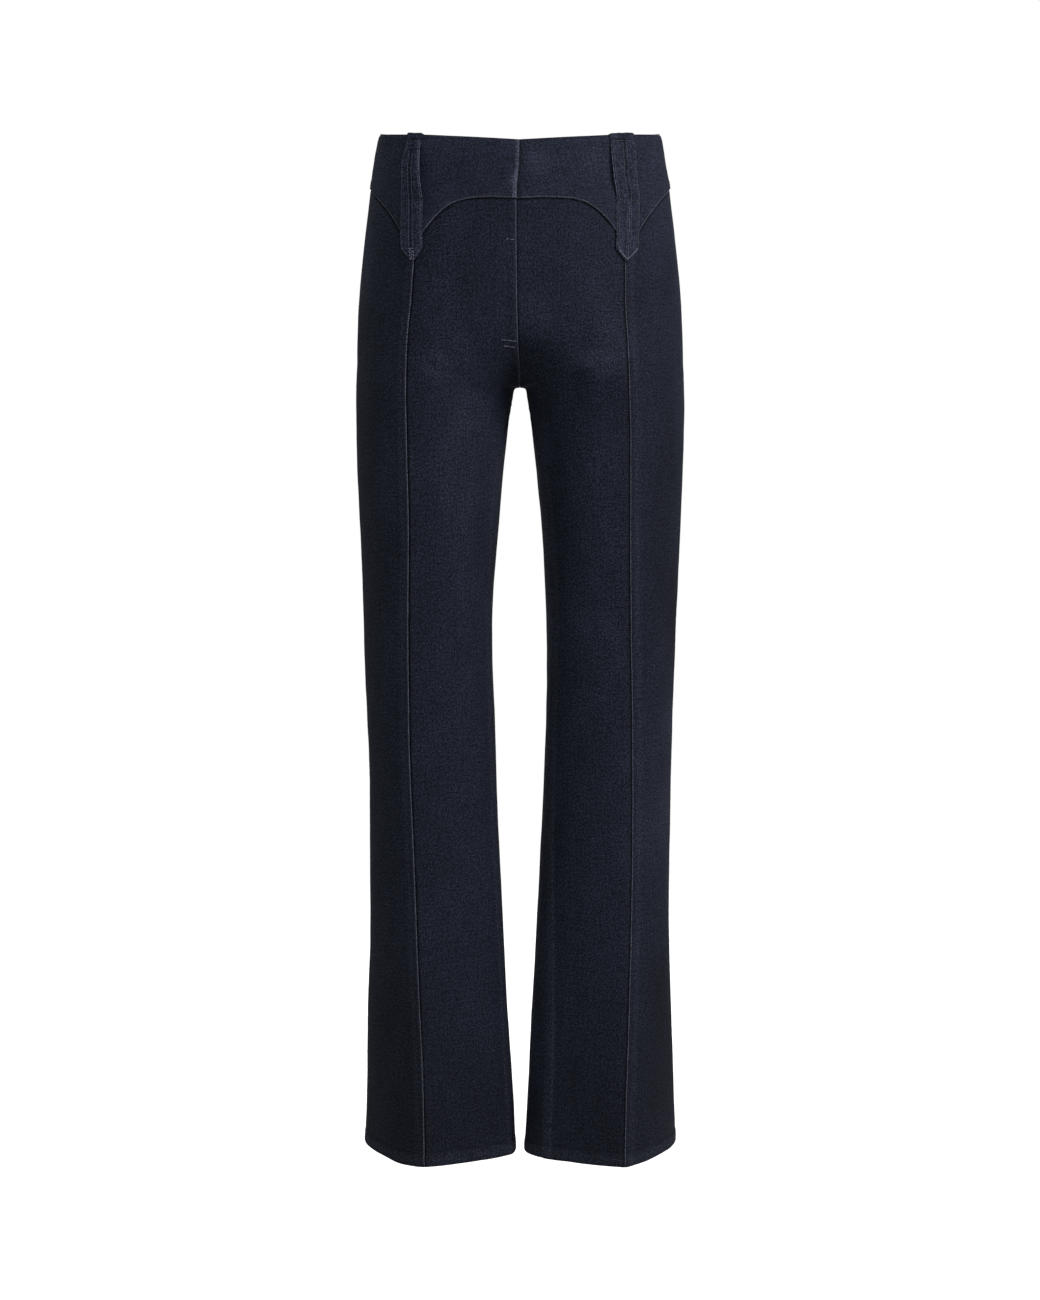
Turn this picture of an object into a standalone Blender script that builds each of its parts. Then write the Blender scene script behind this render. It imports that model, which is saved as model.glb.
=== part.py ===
"""High-waisted jeans with flared legs, filled out as worn and built as thin cloth walls.

+Z is up and the front faces -Y, so +X is the wearer's left. The origin is the middle of the
waist, halfway up the waistband at its side seams, where the wearer holds the garment up.
All sizes below are millimetres; meshes are written in metres.

Every cloth wall lies on one form. At each height the form is a ring: a rounded oval that goes
round the whole body above the crotch and round one leg below it. A ring is drawn for one half
of the garment. Its angle is 0 at the outer side, 90 at the front, 180 at the inner leg and 270
(or -90) at the back. Above the crotch the ring reaches past the middle plane and is cut there,
which draws the curve of the crotch seam.
"""

import bisect
import functools
import math

import bmesh
import bpy
from mathutils import Vector

MM = 0.001

# Heights
CROTCH = -240.5
HEM = -1064.0
HEM_FOLD = 15.0              # depth of the turned hem
LEVEL = -140.0               # below this the rows of the panels run level

# Cloth
PANEL_WALL = 1.4
HEM_WALL = 2.4
BAND_PROUD = 0.9             # the waistband stands out from the panels
BAND_INSIDE = 1.5
SEAM_GAP = 0.3
LOOP_THICK = 1.8
LOOP_WIDTH = 27.0
LOOP_SLACK = 4.2             # most that a belt loop stands off the waistband
LOOP_TUCK = 13.0             # length of a loop turned to the inside over the top edge
LOOP_TIP_LENGTH = 14.0
LOOP_TIP_WIDTH = 2.0
LOOP_INSIDE_EASE = 0.9       # more room on the hollow side of the waistband
LOOP_TOP_EASE = 0.3
LOOP_BOW_STEPS = 8
LOOP_BOW_POWER = 0.8

# Seams, as ring angles in degrees
SIDE_SEAM = -6.0
INSEAM_FORWARD = 27.0        # the inseam lies this far in front of the innermost line
INSEAM_REACH = 110.0         # length below the crotch over which it moves forward

RIDGE_WIDTH = 60.0           # how far the front ridge fades out on each side of its seam
RIDGE_POWER = 1.15
RIDGE_EDGE = 0.5             # the ridge also fades over this share of the depth at the outer side

# Span of the form over which its outward direction is taken, in degrees and millimetres
NORMAL_TURN = 2.0
NORMAL_RISE = 0.6

# The form: one row for each section.
# outer and inner are measured sideways from the middle plane, front and back from the plane
# y = 0, mid is the depth of the outermost and innermost lines, full is how square the oval is,
# turn is how far the oval is turned outwards, ridge is the height of the front crease, and arch
# is how far the innermost line alone lies nearer the middle, which rounds the fork of the legs.
FORM_COLUMNS = (
    "height", "outer", "inner", "front", "back", "mid", "full", "turn", "ridge", "arch")
FORM_ROWS = (
    (45.0, 146.2, -146.2, 84.5, 88.5, 3.0, 2.20, 0.00, 0.0, 0.0),
    (28.0, 149.8, -149.8, 86.0, 91.0, 3.0, 2.20, 0.00, 0.0, 0.0),
    (0.0, 155.1, -155.1, 89.0, 96.5, 3.0, 2.22, 0.00, 0.0, 0.0),
    (-28.0, 159.3, -159.3, 92.0, 102.5, 4.0, 2.24, 0.00, 0.0, 0.0),
    (-50.0, 162.1, -162.1, 94.3, 108.0, 4.0, 2.26, 0.00, 0.0, 0.0),
    (-80.0, 166.0, -166.0, 97.0, 115.5, 5.0, 2.28, 0.00, 0.0, 0.0),
    (-110.0, 169.3, -169.3, 99.0, 121.8, 6.0, 2.30, 0.00, 1.0, 0.0),
    (-130.0, 171.3, -171.0, 99.8, 125.0, 7.0, 2.30, 0.00, 1.4, 0.0),
    (-145.0, 172.5, -167.0, 99.8, 126.8, 8.0, 2.29, 0.00, 1.7, 0.0),
    (-160.0, 173.6, -154.0, 99.4, 128.0, 9.0, 2.27, 0.00, 2.0, 0.0),
    (-175.0, 174.4, -128.0, 98.5, 128.0, 10.5, 2.25, 0.00, 2.3, 0.0),
    (-190.0, 175.0, -89.0, 97.0, 127.0, 12.0, 2.23, 0.00, 2.6, 0.0),
    (-205.0, 175.5, -49.0, 95.0, 125.3, 14.0, 2.21, 0.00, 2.9, 0.0),
    (-217.0, 175.8, -24.5, 93.0, 123.3, 16.0, 2.20, 0.00, 3.1, 0.0),
    (-226.0, 176.0, -12.0, 91.3, 121.3, 17.0, 2.19, 0.00, 3.3, 0.0),
    (-233.0, 176.1, -4.5, 90.0, 119.5, 17.6, 2.18, 0.00, 3.4, 1.0),
    (-237.5, 176.2, -0.6, 89.1, 118.2, 17.7, 2.17, 0.00, 3.5, 2.4),
    (-240.5, 176.3, 1.7, 88.6, 117.2, 17.6, 2.17, 0.00, 3.6, 1.4),
    (-242.5, 176.3, 3.0, 88.3, 116.6, 17.4, 2.16, 0.00, 3.6, -1.9),
    (-245.5, 176.4, 4.7, 87.9, 115.6, 17.2, 2.16, 0.00, 3.7, -2.2),
    (-251.0, 176.4, 7.0, 87.3, 113.9, 16.7, 2.16, 0.00, 3.8, -0.8),
    (-260.0, 176.5, 9.4, 86.4, 111.0, 16.0, 2.15, 0.00, 3.9, 0.0),
    (-290.0, 176.1, 13.0, 84.6, 102.8, 13.0, 2.14, 0.01, 4.2, 0.0),
    (-320.0, 175.4, 16.4, 83.2, 96.2, 11.0, 2.13, 0.02, 4.5, 0.0),
    (-360.0, 173.7, 20.5, 81.0, 89.0, 8.0, 2.12, 0.03, 4.9, 0.0),
    (-400.0, 172.1, 24.1, 78.4, 83.0, 6.0, 2.11, 0.04, 5.4, 0.0),
    (-450.0, 170.0, 27.3, 74.8, 76.5, 4.0, 2.10, 0.05, 5.9, 0.0),
    (-500.0, 168.3, 29.0, 71.4, 71.3, 2.0, 2.10, 0.06, 6.4, 0.0),
    (-550.0, 166.7, 29.2, 68.5, 68.0, 0.0, 2.10, 0.07, 6.9, 0.0),
    (-600.0, 165.2, 28.2, 66.3, 66.8, -1.0, 2.10, 0.08, 8.0, 0.0),
    (-650.0, 163.9, 26.5, 65.2, 68.5, -2.0, 2.10, 0.09, 8.8, 0.0),
    (-700.0, 162.8, 24.3, 64.7, 72.0, -3.0, 2.10, 0.10, 9.9, 0.0),
    (-750.0, 162.2, 21.9, 64.7, 75.5, -5.0, 2.10, 0.11, 11.2, 0.0),
    (-800.0, 162.5, 19.4, 65.5, 78.2, -6.0, 2.10, 0.12, 12.8, 0.0),
    (-900.0, 165.1, 13.9, 69.0, 80.5, -9.0, 2.10, 0.14, 16.4, 0.0),
    (-1000.0, 167.8, 8.1, 73.0, 80.5, -12.0, 2.10, 0.16, 20.0, 0.0),
    (-1064.0, 169.9, 4.4, 75.5, 79.5, -14.0, 2.10, 0.16, 22.0, 0.0),
)
ARCH_POWER = 8               # how closely the arch keeps to the innermost line

# Sideways place of the front seam on each leg, on the wearer's right and left.
SEAM_COLUMNS = ("height", "right", "left")
SEAM_ROWS = (
    (-90.0, 110.8, 110.6),
    (-110.0, 110.5, 109.4),
    (-150.0, 112.9, 109.2),
    (-200.0, 117.3, 111.7),
    (-250.0, 118.6, 113.6),
    (-300.0, 118.0, 115.0),
    (-400.0, 116.6, 115.2),
    (-500.0, 117.4, 116.2),
    (-600.0, 116.8, 118.4),
    (-700.0, 113.9, 119.1),
    (-800.0, 110.0, 117.9),
    (-900.0, 106.1, 115.2),
    (-1000.0, 102.0, 111.8),
    (-1064.0, 100.4, 110.6),
)

# The middle front seam runs a little to the wearer's right, where the front laps.
LAP_COLUMNS = ("height", "x")
LAP_ROWS = (
    (45.0, -0.6), (-10.0, -0.9), (-40.0, -3.3), (-60.0, -3.8), (-190.0, -2.4), (-228.0, 0.0))

# Edges of the waistband by ring angle: 90 is the middle front, -90 the middle back.
BAND_COLUMNS = ("angle", "top", "bottom")
BAND_ROWS = (
    (-90.0, 33.0, -26.0),
    (-50.0, 31.5, -27.0),
    (-6.0, 28.3, -28.2),
    (6.0, 27.3, -30.4),
    (15.0, 25.2, -35.4),
    (24.5, 22.6, -44.2),
    (33.2, 20.6, -56.1),
    (41.0, 18.9, -73.0),
    (46.5, 17.8, -90.2),
    (49.2, 17.3, -98.5),
    (51.0, 16.9, -102.0),
    (52.4, 16.6, -94.5),
    (57.0, 15.5, -76.1),
    (62.5, 14.2, -61.4),
    (67.0, 13.3, -54.6),
    (72.0, 12.3, -51.8),
    (80.0, 10.8, -51.0),
    (90.0, 9.1, -52.2),
)

# Rows of the panels, as heights, from where they run level down to the hem.
ROW_HEIGHTS = (
    -140.0, -158.0, -175.0, -190.0, -203.0, -213.5, -222.0, -228.5, -233.5, -237.0, -239.3,
    CROTCH, -242.5, -245.5, -251.0, -262.0, -280.0, -310.0, -350.0, -390.0, -430.0, -470.0,
    -510.0, -550.0, -590.0, -630.0, -670.0, -710.0, -750.0, -790.0, -830.0, -870.0, -910.0,
    -950.0, -990.0, -1025.0, HEM + HEM_FOLD + 0.6, HEM + HEM_FOLD, HEM,
)
TOP_ROWS = 4                 # rows between the waistband and the first level row
FRONT_CENTRE_COLUMNS = 8
FRONT_SIDE_COLUMNS = 7
BACK_COLUMNS = 12
BAND_ROW_COUNT = 3
LOOP_COLUMNS = 4

# Belt loops: ring angle of the middle line at the top and at the lower end, the heights between
# which the loop stands off the waistband, and the height of its lower end.
LOOPS = {
    "front": {"top_angle": 45.2, "end_angle": 49.6, "free_from": 10.0, "free_to": -51.0,
              "end": -115.0, "pointed": True},
    "back": {"top_angle": -52.0, "end_angle": -52.0, "free_from": 22.0, "free_to": -24.0,
             "end": -38.0, "pointed": False},
}

DENIM = (0.014, 0.017, 0.028, 1.0)
DENIM_BAND = (0.018, 0.021, 0.034, 1.0)
DENIM_LOOP = (0.022, 0.026, 0.040, 1.0)
DENIM_ROUGHNESS = 0.85

HALVES = {"right": -1, "left": 1}


class Curve:
    """A smooth line through the rows of a short table, which never overshoots them."""

    def __init__(self, places, values):
        pairs = sorted(zip(places, values))
        self.places = [place for place, _ in pairs]
        self.values = [value for _, value in pairs]
        self.slopes = self.find_slopes()

    def find_slopes(self):
        steps = [b - a for a, b in zip(self.places, self.places[1:])]
        rates = [(b - a) / step for a, b, step in zip(self.values, self.values[1:], steps)]
        slopes = [rates[0]]
        for step, next_step, rate, next_rate in zip(steps, steps[1:], rates, rates[1:]):
            if rate * next_rate <= 0:
                slopes.append(0.0)
                continue
            weight = 2 * next_step + step
            next_weight = next_step + 2 * step
            slopes.append((weight + next_weight) / (weight / rate + next_weight / next_rate))
        slopes.append(rates[-1])
        return slopes

    def at(self, place):
        place = min(max(place, self.places[0]), self.places[-1])
        k = min(bisect.bisect_right(self.places, place), len(self.places) - 1) - 1
        step = self.places[k + 1] - self.places[k]
        t = (place - self.places[k]) / step
        start, end = self.values[k], self.values[k + 1]
        start_slope, end_slope = self.slopes[k] * step, self.slopes[k + 1] * step
        return (
            start * (1 + 2 * t) * (1 - t) ** 2
            + start_slope * t * (1 - t) ** 2
            + end * t * t * (3 - 2 * t)
            + end_slope * t * t * (t - 1)
        )


def table_curves(columns, rows):
    """One curve for each named column of a table, over its first column."""
    places = [row[0] for row in rows]
    return {name: Curve(places, [row[i] for row in rows]) for i, name in enumerate(columns) if i}


FORM = table_curves(FORM_COLUMNS, FORM_ROWS)
SEAM = table_curves(SEAM_COLUMNS, SEAM_ROWS)
LAP = table_curves(LAP_COLUMNS, LAP_ROWS)
BAND = table_curves(BAND_COLUMNS, BAND_ROWS)


def mix(start, end, share):
    return start + (end - start) * share


@functools.lru_cache(maxsize=None)
def section(height):
    return {name: curve.at(height) for name, curve in FORM.items()}


def ring_point(height, angle):
    """Sideways and depth position on the ring at a height, before the front ridge."""
    form = section(height)
    centre = (form["outer"] + form["inner"]) / 2
    reach = (form["outer"] - form["inner"]) / 2
    side = math.cos(math.radians(angle))
    ahead = math.sin(math.radians(angle))
    radius = (abs(side) ** form["full"] + abs(ahead) ** form["full"]) ** (-1 / form["full"])
    across = centre + reach * radius * side - form["arch"] * max(0.0, -side) ** ARCH_POWER
    depth = form["front"] + form["mid"] if ahead > 0 else form["back"] - form["mid"]
    along = form["mid"] - depth * radius * ahead - form["turn"] * (centre - across)
    return across, along


def form_point(side, height, angle):
    """Point of the form's outer face on one side of the garment, in millimetres."""
    across, along = ring_point(height, angle)
    ahead = math.sin(math.radians(angle))
    if ahead > 0:
        near = max(0.0, 1 - abs(across - SEAM[side].at(height)) / RIDGE_WIDTH)
        fade = min(1.0, ahead / RIDGE_EDGE)
        along -= section(height)["ridge"] * near ** RIDGE_POWER * fade * fade * (3 - 2 * fade)
    return Vector((HALVES[side] * across, along, height))


def form_normal(side, height, angle):
    """Outward direction of the form at a point."""
    turn, rise = NORMAL_TURN, NORMAL_RISE
    round_it = form_point(side, height, angle + turn) - form_point(side, height, angle - turn)
    up_it = form_point(side, height + rise, angle) - form_point(side, height - rise, angle)
    return (up_it.cross(round_it) * HALVES[side]).normalized()


def moved_out(side, height, angle, offset):
    """Point of the form moved out from its face, in millimetres."""
    return form_point(side, height, angle) + form_normal(side, height, angle) * offset


def angle_at(height, across, low, high):
    """Ring angle between two angles where the ring has a sideways place."""
    low_is_outer = ring_point(height, low)[0] > ring_point(height, high)[0]
    for _ in range(40):
        middle = (low + high) / 2
        if (ring_point(height, middle)[0] > across) == low_is_outer:
            low = middle
        else:
            high = middle
    return (low + high) / 2


def arc_angle(side, height, angle, distance):
    """Change of ring angle that moves a point a distance round the ring."""
    step = 0.5
    span = form_point(side, height, angle + step) - form_point(side, height, angle - step)
    return distance * 2 * step / span.length


@functools.lru_cache(maxsize=None)
def front_seam(side, height):
    return angle_at(height, SEAM[side].at(height), 0.0, 170.0)


def inseam(height):
    """Ring angle of the inner leg seam below the crotch."""
    share = min(1.0, (CROTCH - height) / INSEAM_REACH)
    return 180.0 - INSEAM_FORWARD * share * share * (3 - 2 * share)


@functools.lru_cache(maxsize=None)
def front_inner_edge(side, height):
    """Inner edge of the front: the middle front above the crotch, the inseam below it."""
    if height > CROTCH:
        across = HALVES[side] * LAP["x"].at(height) + SEAM_GAP / 2
        return angle_at(height, across, 0.0, 180.0)
    angle = inseam(height)
    return angle - arc_angle(side, height, angle, SEAM_GAP / 2)


@functools.lru_cache(maxsize=None)
def back_inner_edge(side, height):
    """Inner edge of the back: the middle back above the crotch, the inseam below it."""
    if height > CROTCH:
        return angle_at(height, SEAM_GAP / 2, 360.0, 180.0)
    angle = inseam(height)
    return angle + arc_angle(side, height, angle, SEAM_GAP / 2)


def beside(edge, direction):
    """The edge of a panel half a seam gap to one side of a seam."""

    def angle(side, height):
        on_seam = edge(side, height)
        return on_seam + direction * arc_angle(side, height, on_seam, SEAM_GAP / 2)

    return angle


def side_seam_front(side, height):
    return SIDE_SEAM


def side_seam_back(side, height):
    return SIDE_SEAM + 360.0


def band_edge(edge, angle):
    """Height of the waistband's top or bottom edge at a ring angle, the same on both halves."""
    turn = angle - 360.0 if angle > 180.0 else angle
    folded = 180.0 - turn if turn > 90.0 else turn
    folded = -180.0 - folded if folded < -90.0 else folded
    return BAND[edge].at(folded)


def panel_places(side, start_edge, end_edge, columns):
    """Height and angle of each point of a panel, from the waistband down to the hem."""
    places = [[None] * (columns + 1) for _ in range(TOP_ROWS + len(ROW_HEIGHTS))]
    for column in range(columns + 1):
        share = column / columns
        top = LEVEL
        for _ in range(30):
            angle = mix(start_edge(side, top), end_edge(side, top), share)
            top = mix(top, band_edge("bottom", angle) - SEAM_GAP / 2, 0.7)
        heights = [mix(top, LEVEL, row / TOP_ROWS) for row in range(TOP_ROWS)] + list(ROW_HEIGHTS)
        for row, height in enumerate(heights):
            angle = mix(start_edge(side, height), end_edge(side, height), share)
            places[row][column] = (height, angle)
    return places


def band_places(side, bottom_angles, inner_edge):
    """Height and angle of each point of a waistband piece, over the panels' top points."""
    inner_at_front = inner_edge is front_inner_edge
    fixed = bottom_angles[0] if inner_at_front else bottom_angles[-1]
    moving = bottom_angles[-1] if inner_at_front else bottom_angles[0]
    places = []
    for row in range(BAND_ROW_COUNT + 1):
        line = []
        for bottom_angle in bottom_angles:
            bottom = band_edge("bottom", bottom_angle) + SEAM_GAP / 2
            height = mix(band_edge("top", bottom_angle), bottom, row / BAND_ROW_COUNT)
            share = (bottom_angle - fixed) / (moving - fixed)
            line.append((height, mix(fixed, inner_edge(side, height), share)))
        places.append(line)
    return places


def new_material(name, colour):
    material = bpy.data.materials.new(name)
    material.use_nodes = True
    shader = material.node_tree.nodes["Principled BSDF"]
    shader.inputs["Base Color"].default_value = colour
    shader.inputs["Roughness"].default_value = DENIM_ROUGHNESS
    shader.inputs["Metallic"].default_value = 0.0
    return material


def wall_object(name, outer, inner, colour):
    """A closed wall between two grids of points, given in millimetres."""
    mesh = bpy.data.meshes.new(name)
    shape = bmesh.new()
    outer_rows = [[shape.verts.new(point * MM) for point in row] for row in outer]
    inner_rows = [[shape.verts.new(point * MM) for point in row] for row in inner]
    rows, columns = len(outer), len(outer[0])
    for row in range(rows - 1):
        for column in range(columns - 1):
            for grid in (outer_rows, inner_rows):
                shape.faces.new((grid[row][column], grid[row][column + 1],
                                 grid[row + 1][column + 1], grid[row + 1][column]))
    border = [(0, column) for column in range(columns)]
    border += [(row, columns - 1) for row in range(1, rows)]
    border += [(rows - 1, column) for column in range(columns - 2, -1, -1)]
    border += [(row, 0) for row in range(rows - 2, 0, -1)]
    for (row, column), (next_row, next_column) in zip(border, border[1:] + border[:1]):
        shape.faces.new((outer_rows[row][column], inner_rows[row][column],
                         inner_rows[next_row][next_column], outer_rows[next_row][next_column]))
    bmesh.ops.recalc_face_normals(shape, faces=shape.faces)
    shape.to_mesh(mesh)
    shape.free()
    mesh.shade_smooth()
    mesh.set_sharp_from_angle(angle=math.radians(40))
    mesh.materials.append(new_material(name, colour))
    piece = bpy.data.objects.new(name, mesh)
    bpy.context.scene.collection.objects.link(piece)
    return piece


def add_panel(name, side, places):
    """A panel of cloth, thicker where its hem is turned up."""
    hem_top = HEM + HEM_FOLD + 0.01
    outer = [[form_point(side, height, angle) for height, angle in line] for line in places]
    inner = [[moved_out(side, height, angle, -(HEM_WALL if height < hem_top else PANEL_WALL))
              for height, angle in line] for line in places]
    wall_object(name, outer, inner, DENIM)


def add_band(name, side, places):
    outer = [[moved_out(side, h, a, BAND_PROUD) for h, a in line] for line in places]
    inner = [[moved_out(side, h, a, -BAND_INSIDE) for h, a in line] for line in places]
    wall_object(name, outer, inner, DENIM_BAND)


def loop_path(loop):
    """Middle line of a belt loop's cloth: offset from the form, height, half width, and how
    closely the height follows the waistband's top edge."""
    top = band_edge("top", loop["top_angle"])
    clear = SEAM_GAP + LOOP_THICK / 2
    inside = -BAND_INSIDE - LOOP_INSIDE_EASE - clear
    outside = BAND_PROUD + clear
    half = LOOP_WIDTH / 2
    free_from, free_to, end = loop["free_from"], loop["free_to"], loop["end"]
    path = [
        (inside, top - LOOP_TUCK, half, 1.0),
        (inside, top - LOOP_TUCK / 2, half, 1.0),
        (inside, top + 0.2, half, 1.0),
        (mix(inside, outside, 0.12), top + clear + LOOP_TOP_EASE, half, 1.0),
        (mix(inside, outside, 0.88), top + clear + LOOP_TOP_EASE, half, 1.0),
        (outside, top + 0.2, half, 1.0),
        (outside, free_from, half, 0.5),
    ]
    for step in range(1, LOOP_BOW_STEPS):
        share = step / LOOP_BOW_STEPS
        bow = LOOP_SLACK * math.sin(math.pi * share) ** LOOP_BOW_POWER
        path.append((outside + bow, mix(free_from, free_to, share), half, 0.0))
    path.append((outside, free_to, half, 0.0))
    if loop["pointed"]:
        taper = end + LOOP_TIP_LENGTH
        path.append((outside, mix(free_to, taper, 0.5), half, 0.0))
        path.append((outside, taper, half, 0.0))
        path.append((outside, mix(taper, end, 0.5), mix(half, LOOP_TIP_WIDTH / 2, 0.5), 0.0))
        path.append((outside, end, LOOP_TIP_WIDTH / 2, 0.0))
    else:
        path.append((outside, end, half, 0.0))
    return path


def add_loop(name, side, loop):
    """A belt loop folded over the top edge, bowed off the waistband and sewn down below."""
    path = loop_path(loop)
    top, end = band_edge("top", loop["top_angle"]), path[-1][1]
    outer, inner = [], []
    for k, (offset, height, half, follow) in enumerate(path):
        before, after = path[max(k - 1, 0)], path[min(k + 1, len(path) - 1)]
        run = Vector((after[0] - before[0], after[1] - before[1])).normalized()
        out = Vector((-run.y, run.x)) * LOOP_THICK / 2
        middle = mix(loop["top_angle"], loop["end_angle"], (top - height) / (top - end))
        outer_line, inner_line = [], []
        for column in range(LOOP_COLUMNS + 1):
            distance = mix(-half, half, column / LOOP_COLUMNS)
            angle = middle + arc_angle(side, height, middle, distance)
            level = height + follow * (band_edge("top", angle) - top)
            outer_line.append(moved_out(side, level + out.y, angle, offset + out.x))
            inner_line.append(moved_out(side, level - out.y, angle, offset - out.x))
        outer.append(outer_line)
        inner.append(inner_line)
    wall_object(name, outer, inner, DENIM_LOOP)


def add_half(side):
    """All the pieces of one half of the garment."""
    side_panel = panel_places(
        side, beside(side_seam_front, 1), beside(front_seam, -1), FRONT_SIDE_COLUMNS)
    centre_panel = panel_places(
        side, beside(front_seam, 1), front_inner_edge, FRONT_CENTRE_COLUMNS)
    back_panel = panel_places(
        side, back_inner_edge, beside(side_seam_back, -1), BACK_COLUMNS)
    add_panel(f"front_side_{side}", side, side_panel)
    add_panel(f"front_centre_{side}", side, centre_panel)
    add_panel(f"back_{side}", side, back_panel)

    side_top = [angle for _, angle in side_panel[0]]
    centre_top = [angle for _, angle in centre_panel[0]]
    point = (side_top[-1] + centre_top[0]) / 2
    front_angles = side_top[:-1] + [point] + centre_top[1:]
    back_angles = [angle for _, angle in back_panel[0]]
    add_band(f"waistband_front_{side}", side, band_places(side, front_angles, front_inner_edge))
    add_band(f"waistband_back_{side}", side, band_places(side, back_angles, back_inner_edge))

    for place, loop in LOOPS.items():
        add_loop(f"belt_loop_{place}_{side}", side, loop)


def main():
    for item in list(bpy.data.objects):
        bpy.data.objects.remove(item, do_unlink=True)
    for side in HALVES:
        add_half(side)


main()
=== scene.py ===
"""Looks of a pair of dark, high-waisted, flared jeans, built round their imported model.

Every cloth piece is a thin shell on the same form as its solid: at each height a rounded oval,
drawn for one half of the garment, with its angle 0 at the outer side, 90 at the front, 180 at the
inner leg and 270 (or -90) at the back. Shells carry the relief of the sewing and soft creases, and
the stitches, tacks and seam allowances are separate meshes on them. Sizes in the tables are
millimetres; meshes are in metres.
"""

import math

import bpy
import numpy as np
from bpy.props import FloatProperty, FloatVectorProperty, PointerProperty
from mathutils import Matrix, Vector


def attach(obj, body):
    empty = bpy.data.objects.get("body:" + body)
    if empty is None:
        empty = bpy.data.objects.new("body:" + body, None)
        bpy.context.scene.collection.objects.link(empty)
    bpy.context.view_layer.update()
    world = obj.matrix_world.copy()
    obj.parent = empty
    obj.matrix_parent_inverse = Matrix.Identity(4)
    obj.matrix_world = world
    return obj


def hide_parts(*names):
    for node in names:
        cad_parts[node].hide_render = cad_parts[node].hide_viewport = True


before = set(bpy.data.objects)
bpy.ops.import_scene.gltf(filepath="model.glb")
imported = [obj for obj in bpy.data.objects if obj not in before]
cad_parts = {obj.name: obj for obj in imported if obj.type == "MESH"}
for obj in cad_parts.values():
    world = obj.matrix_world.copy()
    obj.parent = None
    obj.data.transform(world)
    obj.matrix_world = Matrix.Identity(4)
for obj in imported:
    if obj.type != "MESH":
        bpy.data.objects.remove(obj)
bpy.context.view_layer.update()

bl_info = {
    "name": "Flared jeans looks",
    "version": (1, 0, 0),
    "blender": (4, 5, 0),
    "location": "3D View > Sidebar > Jeans",
    "description": "Builds the cloth, sewing and stage of a pair of jeans round their packed model",
    "category": "Object",
}

MM = 0.001
HALVES = {"right": -1, "left": 1}

# Heights
CROTCH = -240.5
HEM = -1064.0
LEVEL = -140.0               # below this the rows of the panels run level

# Seams, as ring angles in degrees
SIDE_SEAM = -6.0
INSEAM_REACH = 110.0
SEAM_GAP = 0.03              # the shells all but touch where they are sewn

RIDGE_WIDTH = 60.0
RIDGE_POWER = 1.15
RIDGE_EDGE = 0.5
ARCH_POWER = 8
NORMAL_TURN = 2.0
NORMAL_RISE = 0.6

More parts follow.
